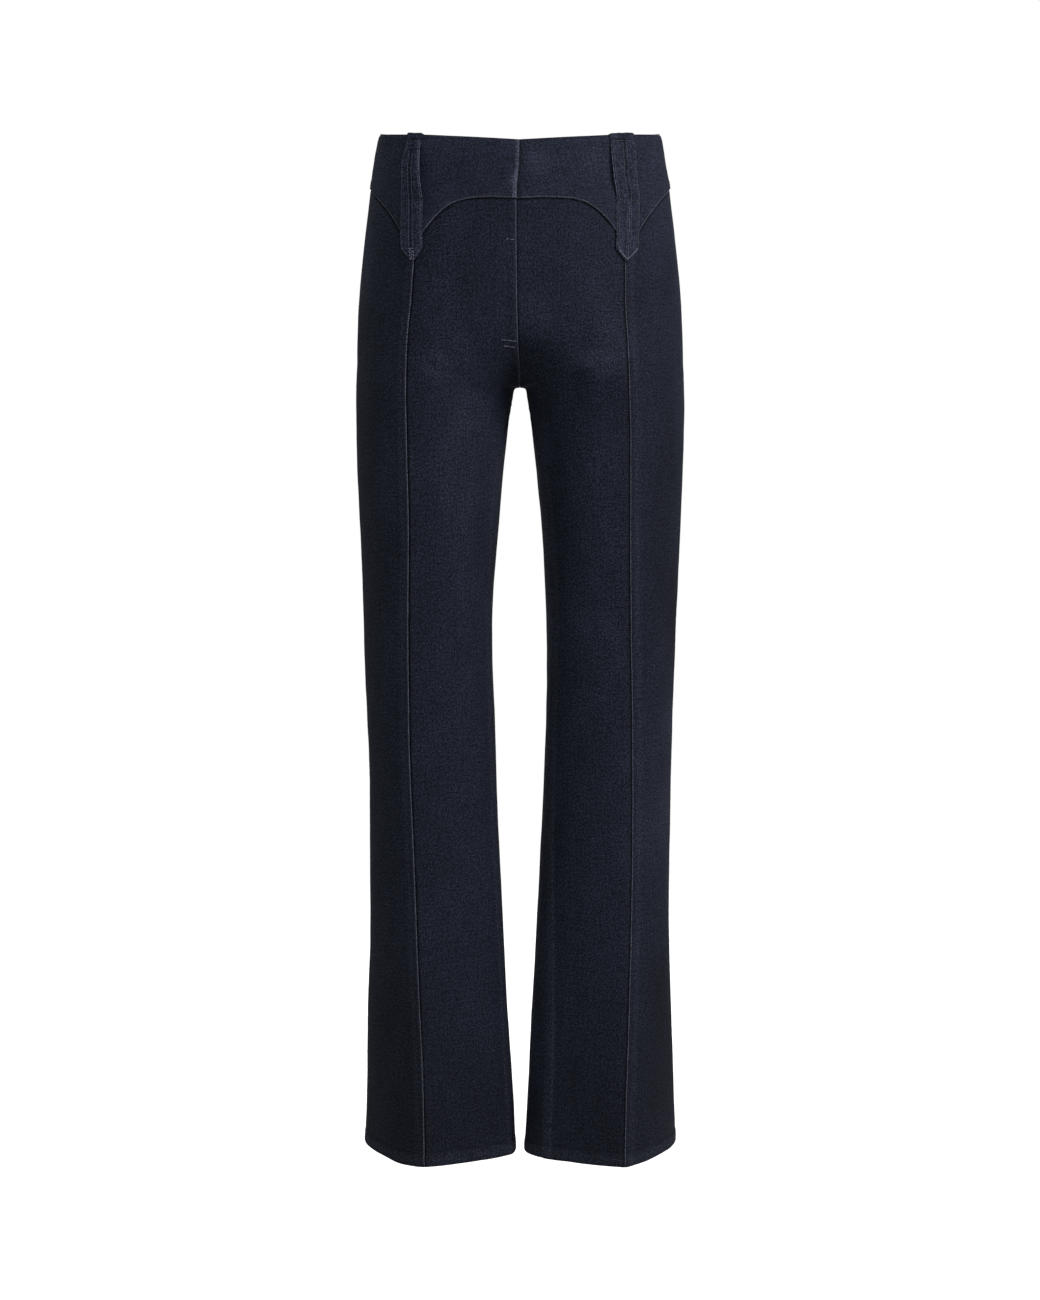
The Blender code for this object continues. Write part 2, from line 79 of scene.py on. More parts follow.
# The form, one row for each section, with the columns named above it.
FORM_COLUMNS = (
    "height", "outer", "inner", "front", "back", "mid", "full", "turn", "ridge", "arch")
FORM_ROWS = (
    (45.0, 146.2, -146.2, 84.5, 88.5, 3.0, 2.20, 0.00, 0.0, 0.0),
    (28.0, 149.8, -149.8, 86.0, 91.0, 3.0, 2.20, 0.00, 0.0, 0.0),
    (0.0, 155.1, -155.1, 89.0, 96.5, 3.0, 2.22, 0.00, 0.0, 0.0),
    (-28.0, 159.3, -159.3, 92.0, 102.5, 4.0, 2.24, 0.00, 0.0, 0.0),
    (-50.0, 162.1, -162.1, 94.3, 108.0, 4.0, 2.26, 0.00, 0.0, 0.0),
    (-80.0, 166.0, -166.0, 97.0, 115.5, 5.0, 2.28, 0.00, 0.0, 0.0),
    (-110.0, 169.3, -169.3, 99.0, 121.8, 6.0, 2.30, 0.00, 1.0, 0.0),
    (-130.0, 171.3, -171.0, 99.8, 125.0, 7.0, 2.30, 0.00, 1.4, 0.0),
    (-145.0, 172.5, -167.0, 99.8, 126.8, 8.0, 2.29, 0.00, 1.7, 0.0),
    (-160.0, 173.6, -154.0, 99.4, 128.0, 9.0, 2.27, 0.00, 2.0, 0.0),
    (-175.0, 174.4, -128.0, 98.5, 128.0, 10.5, 2.25, 0.00, 2.3, 0.0),
    (-190.0, 175.0, -89.0, 97.0, 127.0, 12.0, 2.23, 0.00, 2.6, 0.0),
    (-205.0, 175.5, -49.0, 95.0, 125.3, 14.0, 2.21, 0.00, 2.9, 0.0),
    (-217.0, 175.8, -24.5, 93.0, 123.3, 16.0, 2.20, 0.00, 3.1, 0.0),
    (-226.0, 176.4, -12.0, 91.3, 121.3, 17.0, 2.19, 0.00, 3.3, 0.0),
    (-233.0, 176.6, -4.5, 90.0, 119.5, 17.6, 2.18, 0.00, 3.4, 1.0),
    (-237.5, 176.8, -0.6, 89.1, 118.2, 17.7, 2.17, 0.00, 3.5, 2.4),
    (-240.5, 176.9, 1.7, 88.6, 117.2, 17.6, 2.17, 0.00, 3.6, 0.9),
    (-240.8, 176.9, 1.9, 88.6, 117.1, 17.6, 2.17, 0.00, 3.6, -1.6),
    (-241.2, 176.9, 2.2, 88.5, 117.0, 17.5, 2.17, 0.00, 3.6, -2.7),
    (-242.5, 176.9, 3.0, 88.3, 116.6, 17.4, 2.16, 0.00, 3.6, -3.0),
    (-245.5, 177.0, 4.7, 87.9, 115.6, 17.2, 2.16, 0.00, 3.7, -2.3),
    (-251.0, 177.1, 7.0, 87.3, 113.9, 16.7, 2.16, 0.00, 3.8, -0.8),
    (-260.0, 177.2, 9.4, 86.4, 111.0, 16.0, 2.15, 0.00, 3.9, 0.0),
    (-290.0, 176.9, 13.0, 84.6, 102.8, 13.0, 2.14, 0.01, 4.2, 0.0),
    (-320.0, 176.3, 16.4, 83.2, 96.2, 11.0, 2.13, 0.02, 4.5, 0.0),
    (-360.0, 174.6, 20.5, 81.0, 89.0, 8.0, 2.12, 0.03, 4.9, 0.0),
    (-400.0, 173.0, 24.1, 78.4, 83.0, 6.0, 2.11, 0.04, 5.4, 0.0),
    (-450.0, 170.6, 27.3, 74.8, 76.5, 4.0, 2.10, 0.05, 5.9, 0.0),
    (-500.0, 168.4, 29.0, 71.7, 71.8, 2.0, 2.12, 0.06, 6.4, 0.0),
    (-550.0, 166.7, 29.2, 69.3, 69.4, 0.0, 2.15, 0.07, 6.9, 0.0),
    (-600.0, 165.2, 28.2, 67.3, 68.4, -1.0, 2.16, 0.08, 8.0, 0.0),
    (-650.0, 163.9, 26.5, 65.8, 69.3, -2.0, 2.12, 0.09, 8.8, 0.0),
    (-700.0, 162.8, 24.3, 64.7, 72.0, -3.0, 2.10, 0.10, 9.9, 0.0),
    (-750.0, 162.2, 21.9, 64.7, 75.5, -5.0, 2.10, 0.11, 11.2, 0.0),
    (-800.0, 162.5, 19.4, 65.5, 78.2, -6.0, 2.10, 0.12, 12.8, 0.0),
    (-900.0, 165.1, 13.9, 69.0, 80.5, -9.0, 2.10, 0.14, 16.4, 0.0),
    (-1000.0, 167.8, 8.1, 73.0, 80.5, -12.0, 2.10, 0.16, 20.0, 0.0),
    (-1064.0, 169.9, 4.4, 75.5, 79.5, -14.0, 2.10, 0.16, 22.0, 0.0),
)

# Sideways place of the front seam on each leg.
SEAM_COLUMNS = ("height", "right", "left")
SEAM_ROWS = (
    (-90.0, 110.8, 110.6), (-110.0, 110.5, 109.4), (-150.0, 112.9, 109.2),
    (-200.0, 117.3, 111.7), (-250.0, 118.6, 113.6), (-300.0, 118.0, 115.0),
    (-400.0, 116.6, 115.2), (-500.0, 117.4, 116.2), (-600.0, 116.8, 118.4),
    (-700.0, 113.9, 119.1), (-800.0, 110.0, 117.9), (-900.0, 106.1, 115.2),
    (-1000.0, 102.0, 111.8), (-1064.0, 100.4, 110.6),
)

# The middle front seam runs a little to the wearer's right, where the front laps.
LAP_COLUMNS = ("height", "x")
LAP_ROWS = (
    (45.0, -0.6), (-10.0, -0.9), (-40.0, -3.3), (-60.0, -3.8), (-190.0, -2.4), (-228.0, 0.0))

# How far the inseam is turned forward on each leg, in degrees.
INSEAM_COLUMNS = ("height", "right", "left")
INSEAM_ROWS = (
    (-240.5, 27.0, 27.0), (-420.0, 20.0, 27.0), (-700.0, 17.0, 26.0), (-850.0, 16.0, 34.0),
    (-960.0, 16.0, 39.0), (-1064.0, 16.0, 41.0))

# Edges of the waistband by ring angle: 90 is the middle front, -90 the middle back.
BAND_COLUMNS = ("angle", "top", "bottom")
BAND_ROWS = (
    (-90.0, 33.0, -26.0), (-50.0, 31.5, -27.0), (-6.0, 28.3, -28.2), (6.0, 27.3, -30.4),
    (15.0, 25.2, -35.4), (24.5, 22.6, -44.2), (33.2, 20.6, -56.1), (41.0, 18.9, -73.0),
    (46.5, 17.8, -90.2), (49.2, 17.3, -98.5), (51.0, 16.9, -102.0), (52.4, 16.6, -94.5),
    (57.0, 15.5, -76.1), (62.5, 14.2, -61.4), (67.0, 13.3, -54.6), (72.0, 12.3, -51.8),
    (80.0, 10.8, -51.0), (90.0, 9.1, -52.2),
)

# How far the hem rises above level on each leg, by ring angle.
HEM_COLUMNS = ("angle", "right", "left")
HEM_ROWS = (
    (-90.0, 0.0, 0.0), (-40.0, 0.6, 0.6), (-6.0, 3.2, 3.2), (16.0, 3.0, 3.0), (30.0, 1.7, 2.3),
    (41.0, 0.6, 1.5), (52.0, -1.1, -0.2), (61.0, -2.8, -1.4), (73.0, -1.9, -1.9),
    (80.0, -0.6, -1.6), (91.0, -0.2, -1.3), (106.0, 0.5, -0.6), (122.0, 0.8, 0.5),
    (141.0, 1.4, 1.4), (156.0, 0.8, 1.5), (165.0, 0.0, 1.2), (185.0, 0.3, 0.5),
    (220.0, 0.6, 0.6), (270.0, 0.0, 0.0))
HEM_RISE_REACH = 90.0        # height over which that fades out
HEM_DEPTH = 14.0             # stitched depth of the turned hem


CURVE_SAMPLES = 6000


class Curve:
    """A smooth line through the rows of a short table, which never overshoots them."""

    def __init__(self, places, values):
        order = np.argsort(places)
        self.places = np.asarray(places, float)[order]
        self.values = np.asarray(values, float)[order]
        steps = np.diff(self.places)
        rates = np.diff(self.values) / steps
        near, far = 2 * steps[1:] + steps[:-1], steps[1:] + 2 * steps[:-1]
        with np.errstate(divide="ignore", invalid="ignore"):
            inner = (near + far) / (near / rates[:-1] + far / rates[1:])
        inner = np.where(rates[:-1] * rates[1:] > 0, inner, 0.0)
        self.slopes = np.concatenate([rates[:1], inner, rates[-1:]])
        self.fine_places = np.linspace(self.places[0], self.places[-1], CURVE_SAMPLES)
        self.fine_values = self.exact(self.fine_places)

    def __call__(self, place):
        return np.interp(place, self.fine_places, self.fine_values)

    def exact(self, place):
        k = np.clip(np.searchsorted(self.places, place, side="right") - 1, 0, len(self.places) - 2)
        step = self.places[k + 1] - self.places[k]
        t = (place - self.places[k]) / step
        return (
            self.values[k] * (1 + 2 * t) * (1 - t) ** 2
            + self.slopes[k] * step * t * (1 - t) ** 2
            + self.values[k + 1] * t * t * (3 - 2 * t)
            + self.slopes[k + 1] * step * t * t * (t - 1)
        )


def table_curves(columns, rows):
    """One curve for each named column of a table, over its first column."""
    places = [row[0] for row in rows]
    return {name: Curve(places, [row[i] for row in rows]) for i, name in enumerate(columns) if i}


FORM = table_curves(FORM_COLUMNS, FORM_ROWS)
SEAM = table_curves(SEAM_COLUMNS, SEAM_ROWS)
LAP = table_curves(LAP_COLUMNS, LAP_ROWS)["x"]
INSEAM = table_curves(INSEAM_COLUMNS, INSEAM_ROWS)
BAND = table_curves(BAND_COLUMNS, BAND_ROWS)
HEM_RISE = table_curves(HEM_COLUMNS, HEM_ROWS)


def mix(start, end, share):
    return start + (end - start) * share


def ramp(low, high, value):
    """0 below low, 1 above high, and smooth between them; low may be the larger."""
    t = np.clip((value - low) / (high - low), 0.0, 1.0)
    return t * t * (3 - 2 * t)


def bump(distance, width):
    """1 on a line, fading to nothing over about a width on both sides of it."""
    return np.exp(-((distance / width) ** 2))


# ---------------------------------------------------------------- the form


def ring(height, angle):
    """Sideways place, depth and forward share of points of the form, before the front ridge."""
    form = {name: curve(height) for name, curve in FORM.items()}
    centre, reach = (form["outer"] + form["inner"]) / 2, (form["outer"] - form["inner"]) / 2
    side, ahead = np.cos(np.radians(angle)), np.sin(np.radians(angle))
    radius = (np.abs(side) ** form["full"] + np.abs(ahead) ** form["full"]) ** (-1 / form["full"])
    across = centre + reach * radius * side
    across = across - form["arch"] * np.maximum(0.0, -side) ** ARCH_POWER
    depth = np.where(ahead > 0, form["front"] + form["mid"], form["back"] - form["mid"])
    along = form["mid"] - depth * radius * ahead - form["turn"] * (centre - across)
    return across, along, ahead, form["ridge"]


def form_points(side, height, angle):
    """Points of the form's outer face on one side of the garment."""
    across, along, ahead, ridge = ring(height, angle)
    near = np.maximum(0.0, 1 - np.abs(across - SEAM[side](height)) / RIDGE_WIDTH)
    along = along - ridge * near**RIDGE_POWER * ramp(0.0, RIDGE_EDGE, ahead)
    return np.stack([HALVES[side] * across, along, height + 0.0 * across], axis=-1)


def form_normals(side, height, angle):
    """Outward directions of the form."""
    round_it = form_points(side, height, angle + NORMAL_TURN)
    round_it -= form_points(side, height, angle - NORMAL_TURN)
    up_it = form_points(side, height + NORMAL_RISE, angle)
    up_it -= form_points(side, height - NORMAL_RISE, angle)
    out = np.cross(up_it, round_it) * HALVES[side]
    return out / np.linalg.norm(out, axis=-1, keepdims=True)


def moved_out(side, height, angle, offset):
    """Points of the form moved out from its face."""
    normals = form_normals(side, height, angle)
    return form_points(side, height, angle) + normals * np.asarray(offset)[..., None]


def per_mm(side, height, angle):
    """Change of ring angle that moves a point one millimetre round the ring."""
    half = 0.5
    ahead = form_points(side, height, angle + half) - form_points(side, height, angle - half)
    return 2 * half / np.linalg.norm(ahead, axis=-1)


def angle_at(height, across, low, high):
    """Ring angle between two angles where the ring has a sideways place; low is the outer one."""
    low, high = low + 0.0 * height, high + 0.0 * height
    for _ in range(24):
        middle = (low + high) / 2
        outside = ring(height, middle)[0] > across
        low, high = np.where(outside, middle, low), np.where(outside, high, middle)
    return (low + high) / 2


def front_seam(side, height):
    return angle_at(height, SEAM[side](height), 0.0, 170.0)


def inseam(side, height):
    """Ring angle of the inner leg seam below the crotch."""
    return 180.0 - INSEAM[side](height) * ramp(0.0, INSEAM_REACH, CROTCH - height)


def inner_edge(side, height, direction):
    """Inner edge of the front (direction -1) or back (1): the middle seam, then the inseam."""
    if direction < 0:
        middle = angle_at(height, HALVES[side] * LAP(height) + SEAM_GAP / 2, 0.0, 180.0)
    else:
        middle = angle_at(height, SEAM_GAP / 2, 360.0, 180.0)
    leg = inseam(side, height)
    leg = leg + direction * SEAM_GAP / 2 * per_mm(side, height, leg)
    return np.where(height > CROTCH, middle, leg)


def band_edge(edge, angle):
    """Height of the waistband's top or bottom edge at a ring angle."""
    turn = np.where(angle > 180.0, angle - 360.0, angle)
    folded = np.where(turn > 90.0, 180.0 - turn, turn)
    folded = np.where(folded < -90.0, -180.0 - folded, folded)
    return BAND[edge](folded)


def band_slant(side, edge, angle):
    """Cosine of how steeply an edge of the waistband runs."""
    step = 0.4
    rise = band_edge(edge, angle + step) - band_edge(edge, angle - step)
    run = 2 * step / per_mm(side, band_edge(edge, angle), angle)
    return run / np.hypot(rise, run)


# ---------------------------------------------------------------- panels and their edges

# Distances from an edge at which a shell has its own lines of points.
EDGE_STEPS = np.array([0.0, 0.3, 0.8, 1.5, 2.4, 3.6, 5.4, 7.4, 9.2, 11.0, 13.5])
TOP_STEPS = np.array([0.0, 0.3, 0.8, 1.5, 2.4, 3.6, 5.4, 7.4, 9.6, 12.5])
HEM_STEPS = np.array([
    0.0, 0.25, 0.7, 1.4, 2.6, 4.4, 7.0, 9.8, 12.0, 13.0, 13.6, 14.2, 14.8, 15.6, 17.2])
TOP_ROWS = 16
ROW_STEP = 3.4
FORK_ROWS = (
    -228.5, -230.5, -232.4, -234.2, -235.8, -237.2, -238.4, -239.4, -240.1, CROTCH, -240.8,
    -241.2, -241.8, -242.7, -243.9, -245.5, -247.5, -250.0, -252.8, -256.0)

# Each panel's edges, its number of columns between them, and the angle between the edges.
PANELS = {"front_side": 21, "front_centre": 23, "back": 60}
GRAIN = {"front_side": -1, "front_centre": 0, "back": -1}      # the column along the grain


def panel_edges(kind, side, height):
    """Ring angles of a panel's two edges, the first at the smaller angle."""
    if kind == "front_side":
        seam = front_seam(side, height)
        start = SIDE_SEAM + SEAM_GAP / 2 * per_mm(side, height, SIDE_SEAM + 0.0 * height)
        return start, seam - SEAM_GAP / 2 * per_mm(side, height, seam)
    if kind == "front_centre":
        seam = front_seam(side, height)
        return seam + SEAM_GAP / 2 * per_mm(side, height, seam), inner_edge(side, height, -1)
    end = SIDE_SEAM + 360.0 + 0.0 * height
    return inner_edge(side, height, 1), end - SEAM_GAP / 2 * per_mm(side, height, end)


def column_angles(kind, side, height, inner_columns):
    """Ring angle of each column of a panel at the heights given, one height for each column."""
    start, end = panel_edges(kind, side, height)
    start_step, end_step = per_mm(side, height, start), per_mm(side, height, end)
    k = np.arange(height.shape[-1])
    edge = len(EDGE_STEPS)
    from_start = EDGE_STEPS[np.minimum(k, edge - 1)]
    from_end = EDGE_STEPS[np.minimum(k[::-1], edge - 1)]
    share = np.clip((k - edge + 1) / (inner_columns + 1), 0.0, 1.0)
    near_start, near_end = start + from_start * start_step, end - from_end * end_step
    between = mix(start + EDGE_STEPS[-1] * start_step, end - EDGE_STEPS[-1] * end_step, share)
    return np.where(k < edge, near_start, np.where(k[::-1] < edge, near_end, between))


def hem_rise(side, height, angle):
    """How far the cloth stands above its row: at the hem, and behind the fork."""
    behind = np.maximum(0.0, -np.sin(np.radians(angle))) * (np.cos(np.radians(angle)) < 0)
    behind = behind * ramp(0.75, 0.25, behind) * bump(height - CROTCH, FORK_REACH)
    return FORK_RISE * behind + HEM_RISE[side](np.where(angle > 270, angle - 360, angle)) * ramp(
        HEM + HEM_RISE_REACH, HEM, height)


FORK_RISE = 6.5              # the seam climbs behind the fork, in millimetres for the ring's depth
FORK_REACH = 9.0


def panel_places(kind, side):
    """Heights and ring angles of a panel's grid, from the waistband down to the hem."""
    inner_columns = PANELS[kind]
    columns = 2 * len(EDGE_STEPS) + inner_columns
    top = np.full((1, columns), LEVEL)
    for _ in range(30):
        angle = column_angles(kind, side, top, inner_columns)
        top = mix(top, band_edge("bottom", angle) - SEAM_GAP / 2, 0.7)
    steps = TOP_STEPS[:, None] / band_slant(side, "bottom", angle)
    shares = np.linspace(0, 1, TOP_ROWS + 1)[1:, None]
    upper = np.concatenate([top - steps, mix(top - steps[-1:], LEVEL, shares)])
    thigh = np.arange(LEVEL - ROW_STEP, FORK_ROWS[0] - 1, -ROW_STEP)
    leg = np.arange(FORK_ROWS[-1] - ROW_STEP, HEM + HEM_STEPS[-1] + 2, -ROW_STEP)
    level = np.concatenate([thigh, FORK_ROWS, leg, HEM + HEM_STEPS[::-1]])
    height = np.concatenate([upper, np.repeat(level[:, None], columns, axis=1)])
    angle = column_angles(kind, side, height, inner_columns)
    return height, angle


def wander(points, span, seed, waves=9):
    """Soft unevenness, about -1 to 1, that changes over a span of millimetres."""
    numbers = np.random.default_rng(seed)
    ways = numbers.normal(size=(waves, points.shape[-1]))
    ways *= numbers.uniform(0.6, 1.5, (waves, 1)) / np.linalg.norm(ways, axis=1, keepdims=True)
    turns = numbers.uniform(0, 2 * math.pi, waves)
    total = np.zeros(points.shape[:-1])
    for way, turn in zip(ways, turns):
        total += np.sin(points @ way * (2 * math.pi / span) + turn)
    return total / math.sqrt(waves)


def pucker(height, seed):
    """Small uneven ripples along a stitched seam."""
    return wander(np.asarray(height)[..., None], 11.0, seed, waves=6)


# Soft creases: side ("both" for the two legs), start and end as (height, ring angle), half width
# and depth; a depth below nothing is a ridge.
CREASES = (
    # the fork, front: short drags that start at the middle seam
    ("both", (-226, 96), (-203, 78), 5.5, 1.3),
    ("both", (-238, 118), (-222, 74), 6.5, 1.5),
    ("both", (-232, 104), (-212, 76), 5.0, -0.8),
    ("right", (-196, 96), (-188, 80), 6.0, 0.9),
    ("left", (-208, 98), (-205, 72), 8.0, 1.0),
    ("both", (-262, 158), (-240, 92), 8.0, 1.3),
    ("left", (-290, 150), (-262, 104), 9.0, 1.1),
    ("right", (-286, 152), (-268, 112), 8.0, 0.9),
    # hips, front: shallow pulls below the waistband
    ("right", (-96, 70), (-118, 84), 9.0, 0.5),
    ("left", (-120, 56), (-104, 84), 10.0, 0.5),
    # front of the knees
    ("right", (-548, 140), (-530, 96), 11.0, 0.9),
    ("left", (-566, 142), (-552, 100), 12.0, 0.9),
    ("right", (-590, 8), (-574, 38), 11.0, 0.8),
    ("left", (-604, 6), (-590, 36), 12.0, 0.8),
    # behind the knees
    ("both", (-560, 206), (-548, 262), 9.0, 2.1),
    ("both", (-590, 330), (-574, 276), 9.0, 1.9),
    ("right", (-612, 214), (-604, 282), 8.0, 1.7),
    ("left", (-618, 222), (-612, 292), 8.0, 1.7),
    ("both", (-575, 215), (-566, 300), 10.0, -1.1),
    # under the seat
    ("both", (-246, 196), (-268, 262), 11.0, 2.4),
    ("both", (-274, 200), (-296, 270), 10.0, 1.5),
    ("right", (-262, 330), (-282, 286), 12.0, 1.2),
    ("left", (-256, 334), (-278, 290), 12.0, 1.2),
    # the break above the hems, back
    ("right", (-900, 236), (-880, 300), 16.0, 1.0),
    ("left", (-916, 232), (-890, 296), 16.0, 1.0),
)
CREASE_END = 0.22            # share of a crease's length over which it fades at each end


def creases(side, points):
    """How far the soft creases push the cloth in or out."""
    total = np.zeros(points.shape[:-1])
    for where, start, end, width, depth in CREASES:
        if where not in (side, "both"):
            continue
        heights = np.linspace(start[0], end[0], 9)
        line = form_points(side, heights, np.linspace(start[1], end[1], 9))
        best = np.full(points.shape[:-1], 1e9)
        share = np.zeros(points.shape[:-1])
        near = np.abs(points - line.mean(0)).max(-1) < np.abs(line - line.mean(0)).max() + 4 * width
        some = points[near]
        nearest, at = best[near], share[near]
        for k, (a, b) in enumerate(zip(line[:-1], line[1:])):
            way = b - a
            along = np.clip((some - a) @ way / (way @ way), 0, 1)
            gap = np.linalg.norm(some - a - along[:, None] * way, axis=-1)
            closer = gap < nearest
            nearest = np.where(closer, gap, nearest)
            at = np.where(closer, (k + along) / (len(line) - 1), at)
        fade = ramp(0, CREASE_END, at) * ramp(1, 1 - CREASE_END, at)
        total[near] -= depth * bump(nearest, width) * fade
    return total


# Relief of a panel beside each of its edges: how far the very edge sinks, how far the cloth over
# the seam allowance stands up, how wide that is, and how much the seam puckers.
EDGE_RELIEF = {
    "side_seam": (0.75, 0.22, 11.0, 0.16),
    "lapped": (0.25, 0.8, 9.6, 0.22),
    "lapped_under": (1.35, 0.0, 9.0, 0.14),
    "felled": (0.4, 0.6, 9.4, 0.26),
    "felled_under": (0.85, 0.0, 9.0, 0.12),
    "middle_over": (0.3, 0.7, 7.5, 0.16),
    "middle_under": (0.9, 0.1, 7.5, 0.12),
}
FORK_REACH = 13.0            # round the fork the cloth lies flat on the form
EDGE_ROLL = 1.1              # width over which a cut edge rolls in
PUCKER_REACH = 9.0


def edge_kinds(kind, side):
    """How a panel is sewn along its first edge, its last edge above the fork and below it."""
    middle = "middle_over" if side == "right" else "middle_under"
    return {
        "front_side": ("side_seam", "lapped", "lapped"),
        "front_centre": ("lapped_under", middle, "felled"),
        "back": ("side_seam", "middle_under" if side == "left" else "middle_over", "felled_under"),
    }[kind]


def edge_relief(sewn, distance, height, seed):
    """Relief beside one sewn edge at a distance from it."""
    sink, stand, width, ripple = EDGE_RELIEF[sewn]
    up = stand * ramp(width + 1.6, width - 1.0, distance)
    rolled = (sink + stand) * bump(distance, EDGE_ROLL)
    return up - rolled + ripple * pucker(height, seed) * bump(distance, PUCKER_REACH)


def edge_distances(kind, side, height, angle):
    """Distances in millimetres from a panel's two edges."""
    start, end = panel_edges(kind, side, height)
    from_start = (angle - start) / per_mm(side, height, start)
    from_end = (end - angle) / per_mm(side, height, end)
    if kind == "back":
        return from_end, from_start
    return from_start, from_end


def panel_relief(kind, side, height, angle):
    """How far a panel's cloth stands off the form."""
    points = form_points(side, height, angle)
    outer_gap, inner_gap = edge_distances(kind, side, height, angle)
    first, above, below = edge_kinds(kind, side)
    seed = 40 + 10 * sorted(PANELS).index(kind) + HALVES[side]
    leg = ramp(-180.0, -420.0, height)
    relief = mix(0.25, 0.75, leg) * wander(points * (1, 1, 0.4), 85.0, 11 + HALVES[side])
    relief += 0.12 * wander(points * (1, 1, 0.6), 24.0, 12 + HALVES[side])
    relief += creases(side, points)
    relief += edge_relief(first, outer_gap, height, seed)
    fork = ramp(CROTCH - 14, CROTCH + 14, height)
    relief += fork * edge_relief(above, inner_gap, height, seed + 3)
    relief += (1 - fork) * edge_relief(below, inner_gap, height, seed + 3)
    under = (band_edge("bottom", angle) - height) * band_slant(side, "bottom", angle)
    relief -= 1.15 * bump(under, 1.6) - 0.2 * pucker(angle * 2.2, seed + 5) * bump(under, 7.0)
    hem = height - HEM
    relief += 0.55 * ramp(HEM_DEPTH + 1.6, HEM_DEPTH - 1.2, hem)
    relief -= 0.5 * bump(hem - HEM_DEPTH, 1.0) + 0.9 * bump(hem, 1.0)
    roping = wander(np.stack([angle * 1.6, hem * 0.8], -1), 9.0, seed + 7)
    relief += 0.2 * roping * bump(hem - HEM_DEPTH / 2, 9.0)
    return relief * (1 - bump(np.hypot(points[..., 0], height - CROTCH), FORK_REACH))


def panel_wear(kind, side, height, angle):
    """Fine paler wear along a panel's raised edges, with painted light where the middle seam runs
    down the fork.
    """
    outer_gap, inner_gap = edge_distances(kind, side, height, angle)
    hem = height - HEM
    fork = ramp(CROTCH - 6, CROTCH + 10, height)
    wear = 0.08 * bump(hem, 1.2) + 0.07 * bump(hem - HEM_DEPTH / 2, 5.0)
    if kind == "front_side":
        uneven = 0.8 + 0.3 * wander(height[..., None], 37.0, 88)
        uneven = uneven * mix(0.6, 1.0, ramp(-1010.0, -800.0, height))
        worn_edge = (0.7 if side == "right" else 0.95) * uneven
        wear = wear + worn_edge * bump(inner_gap, 0.45) + 0.05 * bump(inner_gap - 7, 3.0)
        wear = wear + 0.1 * bump(outer_gap, 1.2)
    if kind == "front_centre":
        # Down the fork, where the form lies in shade, the pale edge of the middle seam on the
        # wearer's right is made stronger and wider: real edge wear with painted light.
        fork_painted_light = ramp(-195.0, -215.0, height)
        aside = ring(height, angle)[0] - ring(height, panel_edges(kind, side, height)[1])[0]
        wear = wear + 0.22 * bump(inner_gap, 0.6) * (1 - fork)
        if side == "right":
            wear = wear + mix(0.55, 1.0, fork_painted_light) * bump(aside, mix(0.5, 1.2, fork_painted_light)) * ramp(
                CROTCH - 1, CROTCH + 3, height)
        wear = wear + 0.04 * (1 - fork) * bump(inner_gap - 9.4, 1.6)
        pale = mix(0.03, 0.075, ramp(-600.0, -760.0, height) if side == "left" else 0.0)
        wear = wear + pale * (1 - fork) * ramp(11.5, 9.0, inner_gap)
    if kind == "back":
        wear = wear + 0.3 * bump(inner_gap, 0.7) * fork * (side == "right")
        wear = wear + 0.15 * bump(inner_gap, 0.7) * (1 - fork)
    return np.clip(wear, 0, 1)


def panel_painted_shade(kind, side, height, angle):
    """Painted shade: how dark a panel is painted in the grooves beside its seams, under the
    waistband and along the top of the turned hem.
    """
    outer_gap, inner_gap = edge_distances(kind, side, height, angle)
    under = (band_edge("bottom", angle) - height) * band_slant(side, "bottom", angle)
    painted_shade = 1.2 * bump(under, 1.9) + 0.35 * bump(height - HEM - HEM_DEPTH, 1.0)
    if kind == "front_centre":
        painted_shade = painted_shade + 1.3 * bump(outer_gap - 0.8, 1.3)
        painted_shade = painted_shade + 0.9 * bump(inner_gap, 1.0) * (side == "left")
    else:
        painted_shade = painted_shade + 0.45 * bump(outer_gap, 1.0)
    if kind == "front_side":
        painted_shade = painted_shade + 0.25 * bump(inner_gap - 1.6, 0.6)
    return np.clip(painted_shade, 0, 1)


INNER_MOST = 0.35            # the wrong side doesn't follow relief that stands above this
PAINTED_SHADE_FADE = 1.9             # how far below nothing the fade mask goes where shade is painted into a groove

